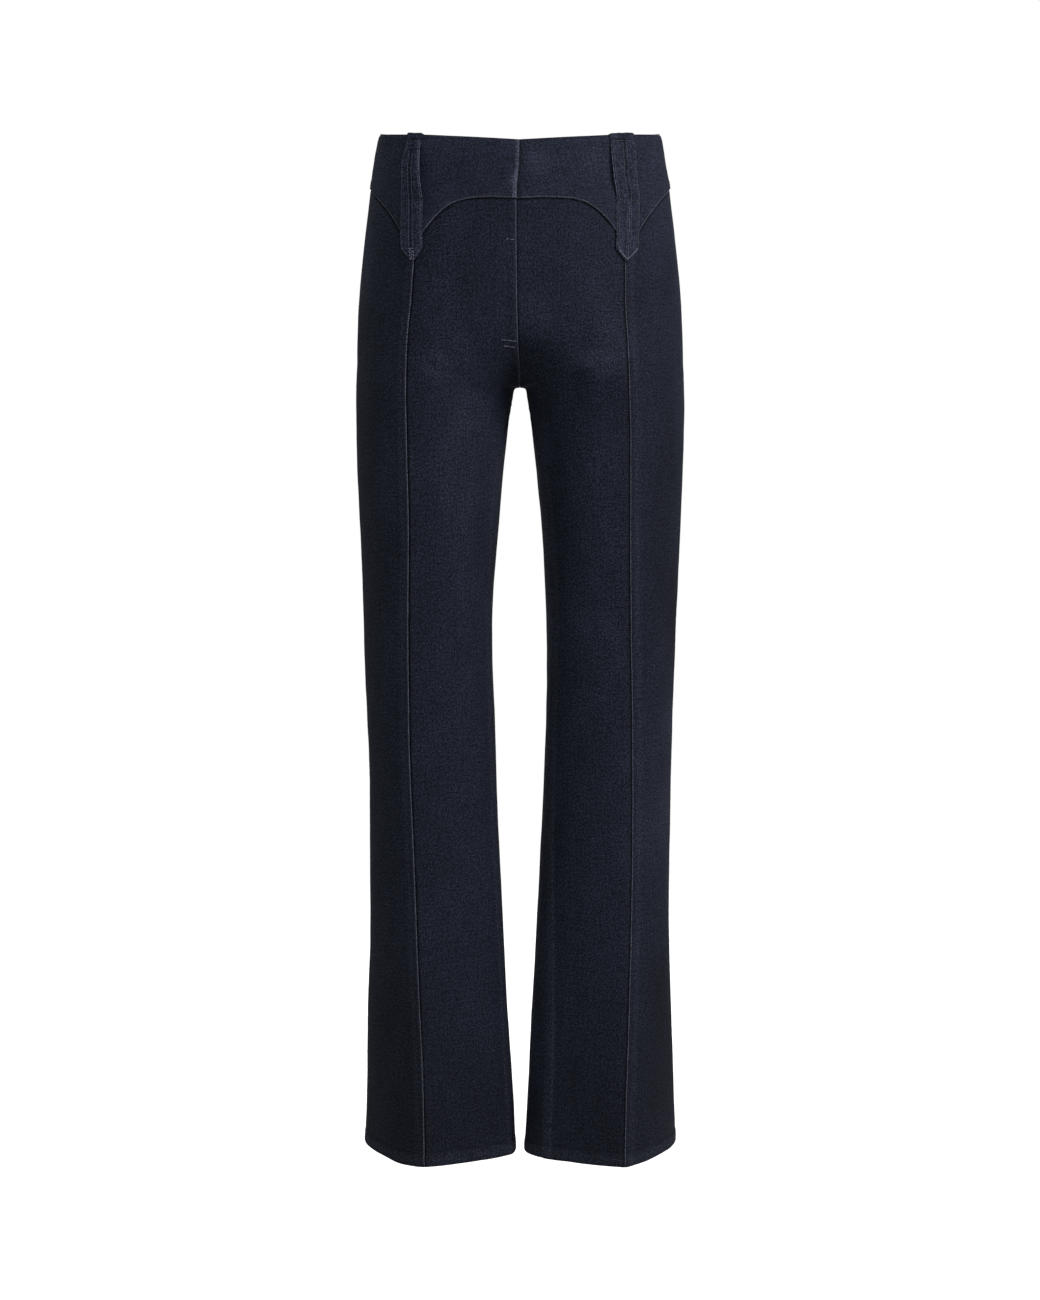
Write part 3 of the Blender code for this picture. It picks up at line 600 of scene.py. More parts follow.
# Broad paler (above 0) and darker (below 0) places, partly real fading of the indigo and partly
# painted light and shade, such as darker towards the hems: side, height, ring angle, reach across
# and up.
FADES_AND_PAINTED_LIGHT = (
    ("both", -190, 70, 46, 40, 0.14),
    ("right", -330, 72, 40, 120, 0.1),
    ("right", -110, 14, 44, 90, 0.75),
    ("right", 5, 40, 70, 30, 0.35),
    ("left", -12, 80, 30, 16, 0.3),
    ("left", -14, 64, 18, 12, 0.25),
    ("both", -20, 30, 34, 26, 0.15),
    ("both", -222, 92, 40, 16, 0.5),
    ("right", -222, 96, 14, 16, -0.3),
    ("left", -234, 104, 14, 11, -0.4),
    ("right", -70, 86, 24, 14, -0.3),
    ("left", -66, 86, 24, 12, -0.25),
    ("right", -262, 166, 10, 26, -0.8),
    ("left", -330, 154, 26, 110, 0.4),
    ("left", -970, 168, 34, 150, 0.9),
    ("left", -620, 172, 30, 420, 0.75),
    ("right", -325, 164, 24, 60, 0.9),
    ("right", -10, 6, 44, 60, 0.6),
    ("left", -130, 6, 34, 80, 0.4),
    ("left", -340, 0, 26, 70, 0.6),
    ("left", -490, 10, 40, 50, -0.9),
    ("left", -250, 70, 40, 60, -0.15),
    ("left", -400, 112, 30, 150, 0.35),
    ("both", -700, 150, 26, 200, -0.15),
    ("left", -170, 40, 34, 60, -0.25),
    ("left", -380, 42, 34, 150, -0.75),
    ("left", -670, 25, 40, 90, 0.35),
    ("left", -900, 25, 40, 80, -0.95),
    ("right", -870, 25, 30, 90, -0.2),
    ("both", -1040, 60, 200, 150, -0.5),
    ("both", -1040, 240, 200, 150, -0.4),
    ("both", -230, 250, 60, 46, 0.15),
    ("both", -90, 300, 60, 46, 0.1),
)


def fading_and_painted_light(side, points):
    """Broad uneven fading of the indigo with painted light and shade, about -1 to 1."""
    total = 0.12 * wander(points * (1, 1, 0.6), 60.0, 21 + HALVES[side])
    total += 0.05 * wander(points * (1, 1, 0.3), 22.0, 22 + HALVES[side])
    for where, height, angle, across, up, amount in FADES_AND_PAINTED_LIGHT:
        if where not in (side, "both"):
            continue
        centre = form_points(side, np.array(float(height)), np.array(float(angle)))
        gap = (points - centre) / (across, across, up)
        total += amount * np.exp(-(gap**2).sum(-1))
    return np.clip(total, -1, 1)


# ---------------------------------------------------------------- meshes


def link(name, mesh, materials):
    for material in materials:
        mesh.materials.append(material)
    piece = bpy.data.objects.new(name, mesh)
    bpy.context.scene.collection.objects.link(piece)
    return piece


def grid_quads(rows, columns, first=0):
    k = np.arange(rows - 1)[:, None] * columns + np.arange(columns - 1)[None] + first
    return np.stack([k, k + 1, k + columns + 1, k + columns], -1).reshape(-1, 4)


def cloth_shell(name, outer, inner, place, masks, materials, sharp=50.0):
    """A closed thin shell between two grids of points in millimetres, with cloth coordinates."""
    rows, columns = outer.shape[:2]
    count = rows * columns
    points = np.concatenate([outer.reshape(-1, 3), inner.reshape(-1, 3)]) * MM
    face_outer, face_inner = grid_quads(rows, columns), grid_quads(rows, columns, count)
    border = [np.arange(columns), np.arange(1, rows) * columns + columns - 1]
    border += [(rows - 1) * columns + np.arange(columns - 2, -1, -1)]
    border += [np.arange(rows - 2, 0, -1) * columns]
    border = np.concatenate(border)
    after = np.roll(border, -1)
    rim = np.stack([border, border + count, after + count, after], -1)
    quad = points[face_outer[len(face_outer) // 2]]
    facing = np.cross(quad[1] - quad[0], quad[3] - quad[0])
    middle = face_outer[len(face_outer) // 2][0]
    if facing @ (points[middle] - points[middle + count]) < 0:
        face_outer, rim = face_outer[:, ::-1], rim[:, ::-1]
    else:
        face_inner = face_inner[:, ::-1]
    faces = np.concatenate([face_outer, face_inner, rim])
    mesh = bpy.data.meshes.new(name)
    mesh.vertices.add(len(points))
    mesh.vertices.foreach_set("co", points.astype(np.float32).ravel())
    mesh.loops.add(faces.size)
    mesh.loops.foreach_set("vertex_index", faces.astype(np.int32).ravel())
    mesh.polygons.add(len(faces))
    mesh.polygons.foreach_set("loop_start", np.arange(0, faces.size, 4, dtype=np.int32))
    inside = np.zeros(len(faces), np.int32)
    inside[len(face_outer):len(face_outer) + len(face_inner)] = 1
    if len(materials) > 1:
        mesh.polygons.foreach_set("material_index", inside)
    mesh.update(calc_edges=True)
    flat = np.concatenate([place.reshape(-1, 2)] * 2)
    layer = mesh.uv_layers.new(name=CLOTH_MAP)
    layer.data.foreach_set("uv", flat[faces.ravel()].astype(np.float32).ravel())
    for label, values in masks.items():
        field = mesh.attributes.new(label, "FLOAT", "POINT")
        both = np.concatenate([values.ravel()] * 2).astype(np.float32)
        field.data.foreach_set("value", both)
    mesh.shade_smooth()
    mesh.set_sharp_from_angle(angle=math.radians(sharp))
    return link(name, mesh, materials)


CLOTH_MAP = "cloth"


def cloth_place(outer, shift, straight=0):
    """Cloth coordinates in metres of a grid, with its grain along one column: across, and up."""
    steps = np.linalg.norm(np.diff(outer[..., :2], axis=1), axis=-1)
    across = np.concatenate([np.zeros((len(outer), 1)), np.cumsum(steps, axis=1)], axis=1)
    across -= across[:, straight][:, None]
    return np.stack([across * MM + shift, outer[..., 2] * MM + shift * 0.37], -1)


def finish_piece(piece, node=None):
    """Puts a piece on the garment and hides the solid it stands for."""
    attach(piece, "root")
    if node:
        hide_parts(node)
    return piece


# One stitch, as (along, sideways, up) shares of its length, half width and height: pointed ends
# sunk in the cloth and two rings of five points.
RING_TURNS = np.arange(5) * 2 * math.pi / 5
STITCH = np.concatenate([
    [[-0.5, 0.0, -1.1]],
    np.stack([np.full(5, -0.27), np.cos(RING_TURNS), np.sin(RING_TURNS) * 0.8 + 0.2], -1),
    np.stack([np.full(5, 0.27), np.cos(RING_TURNS), np.sin(RING_TURNS) * 0.8 + 0.2], -1),
    [[0.5, 0.0, -1.1]],
])
STITCH_FACES = np.array(
    [[0, 1 + (k + 1) % 5, 1 + k] for k in range(5)]
    + [[1 + k, 1 + (k + 1) % 5, 6 + k] for k in range(5)]
    + [[1 + (k + 1) % 5, 6 + (k + 1) % 5, 6 + k] for k in range(5)]
    + [[11, 6 + k, 6 + (k + 1) % 5] for k in range(5)])


def sewn(name, starts, ends, ups, radius, material):
    """A mesh of stitches from their start and end points and the way the cloth faces."""
    way = ends - starts
    length = np.linalg.norm(way, axis=-1, keepdims=True)
    way = way / length
    aside = np.cross(ups, way)
    aside /= np.linalg.norm(aside, axis=-1, keepdims=True)
    up = np.cross(way, aside)
    middle = (starts + ends) / 2
    shape = STITCH[None]
    points = (
        middle[:, None] + shape[..., :1] * (way * length)[:, None]
        + shape[..., 1:2] * aside[:, None] * radius + shape[..., 2:] * up[:, None] * radius)
    faces = STITCH_FACES[None] + np.arange(len(starts))[:, None, None] * len(STITCH)
    points, faces = points.reshape(-1, 3) * MM, faces.reshape(-1, 3)
    mesh = bpy.data.meshes.new(name)
    mesh.vertices.add(len(points))
    mesh.vertices.foreach_set("co", points.astype(np.float32).ravel())
    mesh.loops.add(faces.size)
    mesh.loops.foreach_set("vertex_index", faces.astype(np.int32).ravel())
    mesh.polygons.add(len(faces))
    mesh.polygons.foreach_set("loop_start", np.arange(0, faces.size, 3, dtype=np.int32))
    mesh.update(calc_edges=True)
    mesh.shade_smooth()
    return finish_piece(link(name, mesh, [material]))


def run_of_stitches(points, normals, pitch, share=0.78, seed=5):
    """Start and end of each stitch along a line of points, and the way the cloth faces there."""
    steps = np.linalg.norm(np.diff(points, axis=0), axis=-1)
    along = np.concatenate([[0], np.cumsum(steps)])
    count = max(1, int(along[-1] / pitch))
    numbers = np.random.default_rng(seed)
    centres = (np.arange(count) + 0.5) * along[-1] / count + numbers.normal(0, pitch * 0.03, count)
    half = pitch * share / 2

    def at(place, values):
        return np.stack([np.interp(place, along, values[:, i]) for i in range(3)], -1)

    return at(centres - half, points), at(centres + half, points), at(centres, normals)


def joined(runs):
    return tuple(np.concatenate([run[i] for run in runs]) for i in range(3))


def cloth_line(surface, side, height, angle, lift=0.1):
    """Points and facing of a line drawn on a piece of cloth, just above its surface."""
    normals = form_normals(side, height, angle)
    lifted = normals * (surface(height, angle) + lift)[:, None]
    return form_points(side, height, angle) + lifted, normals


# ---------------------------------------------------------------- finishes


def add_node(tree, kind, place, **values):
    node = tree.nodes.new(kind)
    node.location = place
    for name, value in values.items():
        if hasattr(node, name):
            setattr(node, name, value)
        else:
            node.inputs[name.replace("_", " ")].default_value = value
    return node


def arithmetic(tree, operation, place, first, second):
    """A Math node; first and second are sockets or numbers."""
    node = add_node(tree, "ShaderNodeMath", place, operation=operation)
    for socket, value in zip(node.inputs, (first, second)):
        if isinstance(value, (int, float)):
            socket.default_value = value
        else:
            tree.links.new(value, socket)
    return node.outputs[0]


def new_group(name, inputs, outputs):
    """A shader node group with named sockets; inputs are (name, kind, default)."""
    tree = bpy.data.node_groups.new(name, "ShaderNodeTree")
    for label, kind, default in inputs:
        socket = tree.interface.new_socket(label, in_out="INPUT", socket_type=f"NodeSocket{kind}")
        if default is not None:
            socket.default_value = default
    for label, kind in outputs:
        tree.interface.new_socket(label, in_out="OUTPUT", socket_type=f"NodeSocket{kind}")
    source = add_node(tree, "NodeGroupInput", (-900, 0))
    result = add_node(tree, "NodeGroupOutput", (900, 0))
    return tree, source, result


def stretched_noise(tree, place, vector, scale, detail, at):
    """Noise whose grains are 1/scale metres wide and high."""
    mapping = add_node(tree, "ShaderNodeMapping", at)
    mapping.inputs["Scale"].default_value = (*scale, 1.0)
    mapping.inputs["Location"].default_value = (*place, 0.0)
    noise = add_node(tree, "ShaderNodeTexNoise", (at[0] + 200, at[1]), noise_dimensions="2D")
    noise.inputs["Scale"].default_value = 1.0
    noise.inputs["Detail"].default_value = detail
    tree.links.new(vector, mapping.inputs["Vector"])
    tree.links.new(mapping.outputs[0], noise.inputs["Vector"])
    return noise.outputs["Fac"]


def make_weave_group():
    """Twill with its mottle, slubs and clouds: a shade about 1 and a height."""
    tree, source, result = new_group(
        "denim_weave",
        [("Place", "Vector", None), ("Mottle", "Float", 1.0), ("Slub", "Float", 1.0),
         ("Twill", "Float", 1.0)],
        [("Shade", "Float"), ("Height", "Float")])
    place = source.outputs["Place"]
    wave = add_node(tree, "ShaderNodeTexWave", (-500, 500), bands_direction="DIAGONAL")
    wave.inputs["Scale"].default_value = TWILL_SCALE
    wave.inputs["Distortion"].default_value = 1.2
    wave.inputs["Detail"].default_value = 1.0
    wave.inputs["Detail Scale"].default_value = 2.0
    tree.links.new(place, wave.inputs["Vector"])
    twill = wave.outputs["Fac"]
    specks = stretched_noise(tree, (3.1, 1.7), place, (610, 560), 1.0, (-700, 250))
    grains = stretched_noise(tree, (5.3, 2.9), place, (390, 340), 1.5, (-700, 50))
    slubs = stretched_noise(tree, (7.7, 4.1), place, (480, 36), 2.0, (-700, -150))
    picks = stretched_noise(tree, (9.1, 6.3), place, (42, 520), 1.5, (-700, -350))
    clouds = stretched_noise(tree, (2.2, 8.4), place, (24, 15), 2.0, (-700, -550))
    flecks = stretched_noise(tree, (6.5, 5.2), place, (760, 430), 1.0, (-700, -750))
    total = 1.0
    for k, (layer, amount, control) in enumerate((
            (specks, 3.2, "Mottle"), (grains, 0.9, "Mottle"), (slubs, 0.7, "Slub"),
            (picks, 0.7, "Slub"), (clouds, 0.16, None), (twill, 0.3, "Twill"))):
        centred = arithmetic(tree, "SUBTRACT", (-250, 300 - 150 * k), layer, 0.5)
        scaled = arithmetic(tree, "MULTIPLY", (-80, 300 - 150 * k), centred, amount)
        if control:
            scaled = arithmetic(
                tree, "MULTIPLY", (90, 300 - 150 * k), scaled, source.outputs[control])
        total = arithmetic(tree, "ADD", (260, 300 - 150 * k), total, scaled)
    total = arithmetic(tree, "MAXIMUM", (430, 100), total, 0.3)
    rare = arithmetic(tree, "SUBTRACT", (-250, -750), flecks, FLECK_LEVEL)
    rare = arithmetic(tree, "MAXIMUM", (-80, -750), rare, 0.0)
    rare = arithmetic(tree, "MULTIPLY", (90, -750), rare, FLECK_SHADE)
    total = arithmetic(tree, "ADD", (600, 100), total, rare)
    tree.links.new(total, result.inputs["Shade"])
    coarse = arithmetic(tree, "MULTIPLY", (300, -700), slubs, 0.8)
    fine = arithmetic(tree, "MULTIPLY", (300, -850), specks, 0.7)
    height = arithmetic(tree, "ADD", (460, -700), coarse, fine)
    ribs = arithmetic(tree, "MULTIPLY", (460, -850), twill, source.outputs["Twill"])
    tree.links.new(arithmetic(tree, "ADD", (620, -760), height, ribs), result.inputs["Height"])
    return tree


def make_fading_and_painted_light_group():
    """Indigo made paler where it fades and wears, and lighter or darker where light and shade are
    painted into the fade mask: a colour from two masks and a shade.
    """
    tree, source, result = new_group(
        "indigo_fading_and_painted_light",
        [("Indigo", "Color", (0.02, 0.02, 0.04, 1)), ("Faded", "Color", (0.05, 0.06, 0.09, 1)),
         ("Worn", "Color", (0.2, 0.22, 0.3, 1)), ("Shade", "Float", 1.0), ("Fade", "Float", 0.0),
         ("Wear", "Float", 0.0)],
        [("Colour", "Color")])
    dark = arithmetic(tree, "MULTIPLY", (-700, 200), source.outputs["Fade"], 0.42)
    dark = arithmetic(tree, "ADD", (-540, 200), dark, 1.0)
    shade = arithmetic(tree, "MULTIPLY", (-380, 200), dark, source.outputs["Shade"])
    pale = arithmetic(tree, "MAXIMUM", (-540, 0), source.outputs["Fade"], 0.0)
    base = add_node(tree, "ShaderNodeMix", (-300, 0), data_type="RGBA")
    tree.links.new(pale, base.inputs["Factor"])
    tree.links.new(source.outputs["Indigo"], base.inputs["A"])
    tree.links.new(source.outputs["Faded"], base.inputs["B"])
    scaled = add_node(tree, "ShaderNodeVectorMath", (0, 100), operation="SCALE")
    tree.links.new(base.outputs["Result"], scaled.inputs[0])
    tree.links.new(shade, scaled.inputs["Scale"])
    broken = arithmetic(tree, "POWER", (-380, -250), source.outputs["Shade"], 1.3)
    broken = arithmetic(tree, "MULTIPLY", (-200, -250), broken, source.outputs["Wear"])
    broken = arithmetic(tree, "MINIMUM", (0, -250), broken, 1.0)
    worn = add_node(tree, "ShaderNodeMix", (300, 0), data_type="RGBA")
    tree.links.new(broken, worn.inputs["Factor"])
    tree.links.new(scaled.outputs[0], worn.inputs["A"])
    tree.links.new(source.outputs["Worn"], worn.inputs["B"])
    tree.links.new(worn.outputs["Result"], result.inputs["Colour"])
    return tree


def make_thread_group():
    """The plies of a sewing thread: a shade about 1 and a height."""
    tree, source, result = new_group(
        "thread_ply", [("Contrast", "Float", 1.0)], [("Shade", "Float"), ("Height", "Float")])
    place = add_node(tree, "ShaderNodeTexCoord", (-700, 0))
    wave = add_node(tree, "ShaderNodeTexWave", (-450, 100), bands_direction="DIAGONAL")
    wave.inputs["Scale"].default_value = PLY_SCALE
    noise = add_node(tree, "ShaderNodeTexNoise", (-450, -200))
    noise.inputs["Scale"].default_value = 900.0
    for node in (wave, noise):
        tree.links.new(place.outputs["Object"], node.inputs["Vector"])
    centred = arithmetic(tree, "SUBTRACT", (-200, 100), wave.outputs["Fac"], 0.5)
    tinted = arithmetic(tree, "SUBTRACT", (-200, -200), noise.outputs["Fac"], 0.5)
    both = arithmetic(tree, "ADD", (0, 0), centred, tinted)
    both = arithmetic(tree, "MULTIPLY", (160, 0), both, source.outputs["Contrast"])
    tree.links.new(arithmetic(tree, "ADD", (320, 0), both, 1.0), result.inputs["Shade"])
    tree.links.new(wave.outputs["Fac"], result.inputs["Height"])
    return tree


TWILL_PITCH = 1.25           # millimetres between the ribs of the twill
TWILL_SCALE = 2 * math.pi / 10 / (TWILL_PITCH * 1.414 * MM)
PLY_SCALE = 2 * math.pi / 10 / (0.5 * MM)
FLECK_LEVEL = 0.64           # the share of the noise above this shows as rare pale flecks
FLECK_SHADE = 11.0


def shared_group(name, maker):
    return bpy.data.node_groups.get(name) or maker()


def place_group(tree, group, at):
    node = add_node(tree, "ShaderNodeGroup", at)
    node.node_tree = group
    return node


def new_material(name):
    material = bpy.data.materials.new(name)
    material.use_nodes = True
    return material, material.node_tree, material.node_tree.nodes["Principled BSDF"]


def denim(name, indigo, faded, worn, mottle=1.0, slub=1.0, twill=1.0, sheen=1.0):
    """Denim: weave on the cloth's own coordinates, broad fading with painted light and shade, and
    worn edges.
    """
    if name in bpy.data.materials:
        return bpy.data.materials[name]
    finish = bpy.context.scene.jeans_finish
    material, tree, shader = new_material(name)
    place = add_node(tree, "ShaderNodeUVMap", (-1100, 0), uv_map=CLOTH_MAP)
    weave = place_group(tree, shared_group("denim_weave", make_weave_group), (-850, 0))
    weave.inputs["Mottle"].default_value = mottle * finish.mottle
    weave.inputs["Slub"].default_value = slub * finish.mottle
    weave.inputs["Twill"].default_value = twill
    tree.links.new(place.outputs[0], weave.inputs["Place"])
    colour = place_group(tree, shared_group("indigo_fading_and_painted_light", make_fading_and_painted_light_group), (-500, 200))
    for label, value in (("Indigo", indigo), ("Faded", faded), ("Worn", worn)):
        colour.inputs[label].default_value = (*value, 1.0)
    tree.links.new(weave.outputs["Shade"], colour.inputs["Shade"])
    # The fade attribute brings real fading together with painted light and shade; the wear
    # attribute brings the pale worn edges, with some painted light down the fork.
    for k, label in enumerate(("Fade", "Wear")):
        mask = add_node(tree, "ShaderNodeAttribute", (-850, 300 + 200 * k))
        mask.attribute_name = label.lower()
        tree.links.new(mask.outputs["Fac"], colour.inputs[label])
    tree.links.new(colour.outputs["Colour"], shader.inputs["Base Color"])
    relief = add_node(tree, "ShaderNodeBump", (-500, -300))
    relief.inputs["Strength"].default_value = 0.55
    relief.inputs["Distance"].default_value = 0.25 * MM
    tree.links.new(weave.outputs["Height"], relief.inputs["Height"])
    tree.links.new(relief.outputs[0], shader.inputs["Normal"])
    shader.inputs["Roughness"].default_value = 0.8
    shader.inputs["Specular IOR Level"].default_value = 0.12
    shader.inputs["Sheen Weight"].default_value = finish.sheen * sheen
    shader.inputs["Sheen Roughness"].default_value = 0.45
    shader.inputs["Sheen Tint"].default_value = (0.62, 0.62, 0.85, 1.0)
    return material


def thread(name, colour, contrast=0.8):
    if name in bpy.data.materials:
        return bpy.data.materials[name]
    material, tree, shader = new_material(name)
    ply = place_group(tree, shared_group("thread_ply", make_thread_group), (-700, 0))
    ply.inputs["Contrast"].default_value = contrast
    scaled = add_node(tree, "ShaderNodeVectorMath", (-400, 100), operation="SCALE")
    scaled.inputs[0].default_value = colour
    tree.links.new(ply.outputs["Shade"], scaled.inputs["Scale"])
    tree.links.new(scaled.outputs[0], shader.inputs["Base Color"])
    relief = add_node(tree, "ShaderNodeBump", (-400, -200))
    relief.inputs["Strength"].default_value = 0.5
    relief.inputs["Distance"].default_value = 0.1 * MM
    tree.links.new(ply.outputs["Height"], relief.inputs["Height"])
    tree.links.new(relief.outputs[0], shader.inputs["Normal"])
    shader.inputs["Roughness"].default_value = 0.6
    shader.inputs["Specular IOR Level"].default_value = 0.25
    return material


def panel_denim():
    finish = bpy.context.scene.jeans_finish
    return denim("denim_cloth", finish.indigo, finish.faded, finish.worn)


def band_denim():
    finish = bpy.context.scene.jeans_finish
    lighter = [c * finish.band_lift for c in finish.indigo]
    return denim("denim_waistband_cloth", lighter, finish.faded, finish.worn, mottle=0.74, slub=1.3)


def loop_denim():
    finish = bpy.context.scene.jeans_finish
    lighter = [c * finish.loop_lift for c in finish.indigo]
    return denim("denim_loop_cloth", lighter, finish.faded, finish.worn, mottle=1.1)


def inside_denim():
    finish = bpy.context.scene.jeans_finish
    return denim("denim_wrong_side", finish.inside, finish.inside, finish.worn, sheen=0.5)


def tonal_thread():
    return thread("thread_tonal", bpy.context.scene.jeans_finish.thread)


def edge_thread():
    return thread("thread_edges", bpy.context.scene.jeans_finish.edge_thread)


def loop_thread():
    return thread("thread_loops", bpy.context.scene.jeans_finish.loop_thread)


def tack_thread():
    return thread("thread_tack", bpy.context.scene.jeans_finish.tack)


# ---------------------------------------------------------------- settings


class JeansClothSettings(bpy.types.PropertyGroup):
    """Sizes of the cloth itself."""

    wall: FloatProperty(
        name="Cloth thickness", description="Thickness of one layer of denim",
        default=1.25 * MM, min=0.5 * MM, max=3 * MM, unit="LENGTH")
    hem_wall: FloatProperty(
        name="Hem thickness", description="Thickness of the turned hem",
        default=2.4 * MM, min=1 * MM, max=5 * MM, unit="LENGTH")
    band_proud: FloatProperty(
        name="Waistband relief", description="How far the waistband stands out from the panels",
        default=0.9 * MM, min=0.0, max=3 * MM, unit="LENGTH")
    band_inside: FloatProperty(
        name="Waistband depth", description="How far the doubled waistband reaches inwards",
        default=1.5 * MM, min=0.5 * MM, max=4 * MM, unit="LENGTH")
    allowance: FloatProperty(
        name="Seam allowance", description="Width of the cloth turned in on each side of a seam",
        default=11 * MM, min=4 * MM, max=20 * MM, unit="LENGTH")


class JeansSewingSettings(bpy.types.PropertyGroup):
    """Sizes of the thread and stitches."""

    seam_pitch: FloatProperty(
        name="Seam stitch", description="Length of one stitch on the long seams and hems",
        default=2.6 * MM, min=1 * MM, max=6 * MM, unit="LENGTH")
    loop_pitch: FloatProperty(
        name="Loop stitch", description="Length of one stitch on the belt loops",
        default=2.2 * MM, min=1 * MM, max=6 * MM, unit="LENGTH")
    thread_radius: FloatProperty(
        name="Thread radius", description="Half the thickness of the sewing thread",
        default=0.26 * MM, min=0.1 * MM, max=0.6 * MM, unit="LENGTH")
    loop_thread_radius: FloatProperty(
        name="Loop thread radius", description="Half the thickness of the belt loops' thread",
        default=0.34 * MM, min=0.1 * MM, max=0.6 * MM, unit="LENGTH")


class JeansFinishSettings(bpy.types.PropertyGroup):
    """Colours and strengths of the denim's finish."""

    indigo: FloatVectorProperty(
        name="Indigo", description="Colour of the unfaded denim",
        default=(0.0126, 0.0162, 0.0276), subtype="COLOR", min=0.0, max=1.0)
    faded: FloatVectorProperty(
        name="Faded", description="Colour of the denim where it is most faded",
        default=(0.0207, 0.0252, 0.0396), subtype="COLOR", min=0.0, max=1.0)
    worn: FloatVectorProperty(
        name="Worn", description="Colour of the white core that shows along worn edges",
        default=(0.109, 0.126, 0.172), subtype="COLOR", min=0.0, max=1.0)
    inside: FloatVectorProperty(
        name="Wrong side", description="Colour of the cloth's inner face",
        default=(0.045, 0.050, 0.068), subtype="COLOR", min=0.0, max=1.0)
    thread: FloatVectorProperty(
        name="Thread", description="Colour of the tonal sewing thread",
        default=(0.024, 0.028, 0.043), subtype="COLOR", min=0.0, max=1.0)
    edge_thread: FloatVectorProperty(
        name="Edge thread", description="Colour of the thread along the front seams and waistband",
        default=(0.142, 0.168, 0.214), subtype="COLOR", min=0.0, max=1.0)
    loop_thread: FloatVectorProperty(
        name="Loop thread", description="Colour of the sewing thread of the belt loops",
        default=(0.105, 0.115, 0.155), subtype="COLOR", min=0.0, max=1.0)
    tack: FloatVectorProperty(
        name="Tack thread", description="Colour of the paler thread of the bar tacks",
        default=(0.23, 0.25, 0.32), subtype="COLOR", min=0.0, max=1.0)
    band_lift: FloatProperty(
        name="Waistband lightness", description="How much lighter the waistband is",
        default=1.22, min=0.5, max=3.0)
    loop_lift: FloatProperty(
        name="Loop lightness", description="How much lighter the belt loops are",
        default=1.66, min=0.5, max=3.0)
    mottle: FloatProperty(
        name="Mottle", description="Strength of the speckled, slubby colour",
        default=1.06, min=0.0, max=3.0)
    sheen: FloatProperty(
        name="Sheen", description="Strength of the soft light along turned-away cloth",
        default=0.005, min=0.0, max=1.0, subtype="FACTOR")


class JeansStageSettings(bpy.types.PropertyGroup):
    """Floor and lights."""

    floor_height: FloatProperty(
        name="Floor height", description="Height of the floor below the wearer's waist",
        default=-1.3, max=-1.08, unit="LENGTH")
    surround: FloatProperty(
        name="Surround", description="Strength of the even light from all round",
        default=0.33, min=0.0, max=5.0)
    key_power: FloatProperty(
        name="Key light", description="Power of the large soft light from the right",
        default=42.0, min=0.0, max=1000.0, unit="POWER")
    back_power: FloatProperty(
        name="Back light", description="Power of the soft light behind",
        default=55.0, min=0.0, max=1000.0, unit="POWER")
    fill_power: FloatProperty(
        name="Front light", description="Power of the soft light from the upper front",
        default=7.0, min=0.0, max=1000.0, unit="POWER")


# ---------------------------------------------------------------- pieces


def panel_wall(height):
    """Thickness of the panels' cloth in millimetres: doubled in the turned hem."""
    cloth = bpy.context.scene.jeans_cloth
    hemmed = ramp(HEM_DEPTH + 1.4, HEM_DEPTH + 0.2, height - HEM)
    return mix(cloth.wall, cloth.hem_wall, hemmed) / MM


def build_panel(kind, side):
    """The shell of one panel on its form."""
    name = f"{kind}_{side}"
    height, angle = panel_places(kind, side)
    relief = panel_relief(kind, side, height, angle)
    lifted = height + hem_rise(side, height, angle)
    normals = form_normals(side, height, angle)
    base = form_points(side, height, angle)
    base[..., 2] = lifted
    outer = base + normals * relief[..., None]
    inner = base + normals * (np.minimum(relief, INNER_MOST) - panel_wall(height))[..., None]
    if kind != "front_side":
        edge = -1 if kind == "front_centre" else 0
        reach = bump(edge_distances(kind, side, height, angle)[1], 14.0)
        reach = reach * ramp(CROTCH - 3, CROTCH + 1, height)
        for points in (outer, inner):
            points[..., 0] += reach * (base - points)[:, edge, 0][:, None]
    # The fade mask holds the indigo's real fading, broad painted light and shade, and painted shade
    # in the grooves beside the seams.
    painted_shade = panel_painted_shade(kind, side, height, angle)
    masks = {
        "wear": panel_wear(kind, side, height, angle),
        "fade": mix(fading_and_painted_light(side, base), -PAINTED_SHADE_FADE, painted_shade)}
    shift = 3.0 * HALVES[side] + sorted(PANELS).index(kind)
    piece = cloth_shell(
        f"{name}_cloth", outer, inner, cloth_place(outer, shift, GRAIN[kind]), masks,
        [panel_denim(), inside_denim()])
    return finish_piece(piece, name)


def panel_surface(kind, side):
    def surface(height, angle):
        return panel_relief(kind, side, height, angle)

    return surface


def seam_stitches(kind, side, at_start, distance, low, high, seed):
    """One row of stitches a distance inside an edge of a panel, between two heights."""
    sewing = bpy.context.scene.jeans_sewing
    height = np.arange(high, low, -2.0)
    start, end = panel_edges(kind, side, height)
    edge, way = (start, 1) if at_start else (end, -1)
    angle = edge + way * distance * per_mm(side, height, edge)
    points, normals = cloth_line(panel_surface(kind, side), side, height, angle)
    points[:, 2] += hem_rise(side, height, angle)
    return run_of_stitches(points, normals, sewing.seam_pitch / MM, seed=seed)


def hem_stitches(kind, side, seed):
    sewing = bpy.context.scene.jeans_sewing
    height = np.full(90, HEM + HEM_DEPTH)
    start, end = panel_edges(kind, side, height)
    angle = mix(start, end, np.linspace(0.01, 0.99, 90))
    points, normals = cloth_line(panel_surface(kind, side), side, height, angle, lift=0.25)
    points[:, 2] += hem_rise(side, height, angle)
    return run_of_stitches(points, normals, sewing.seam_pitch / MM, seed=seed)


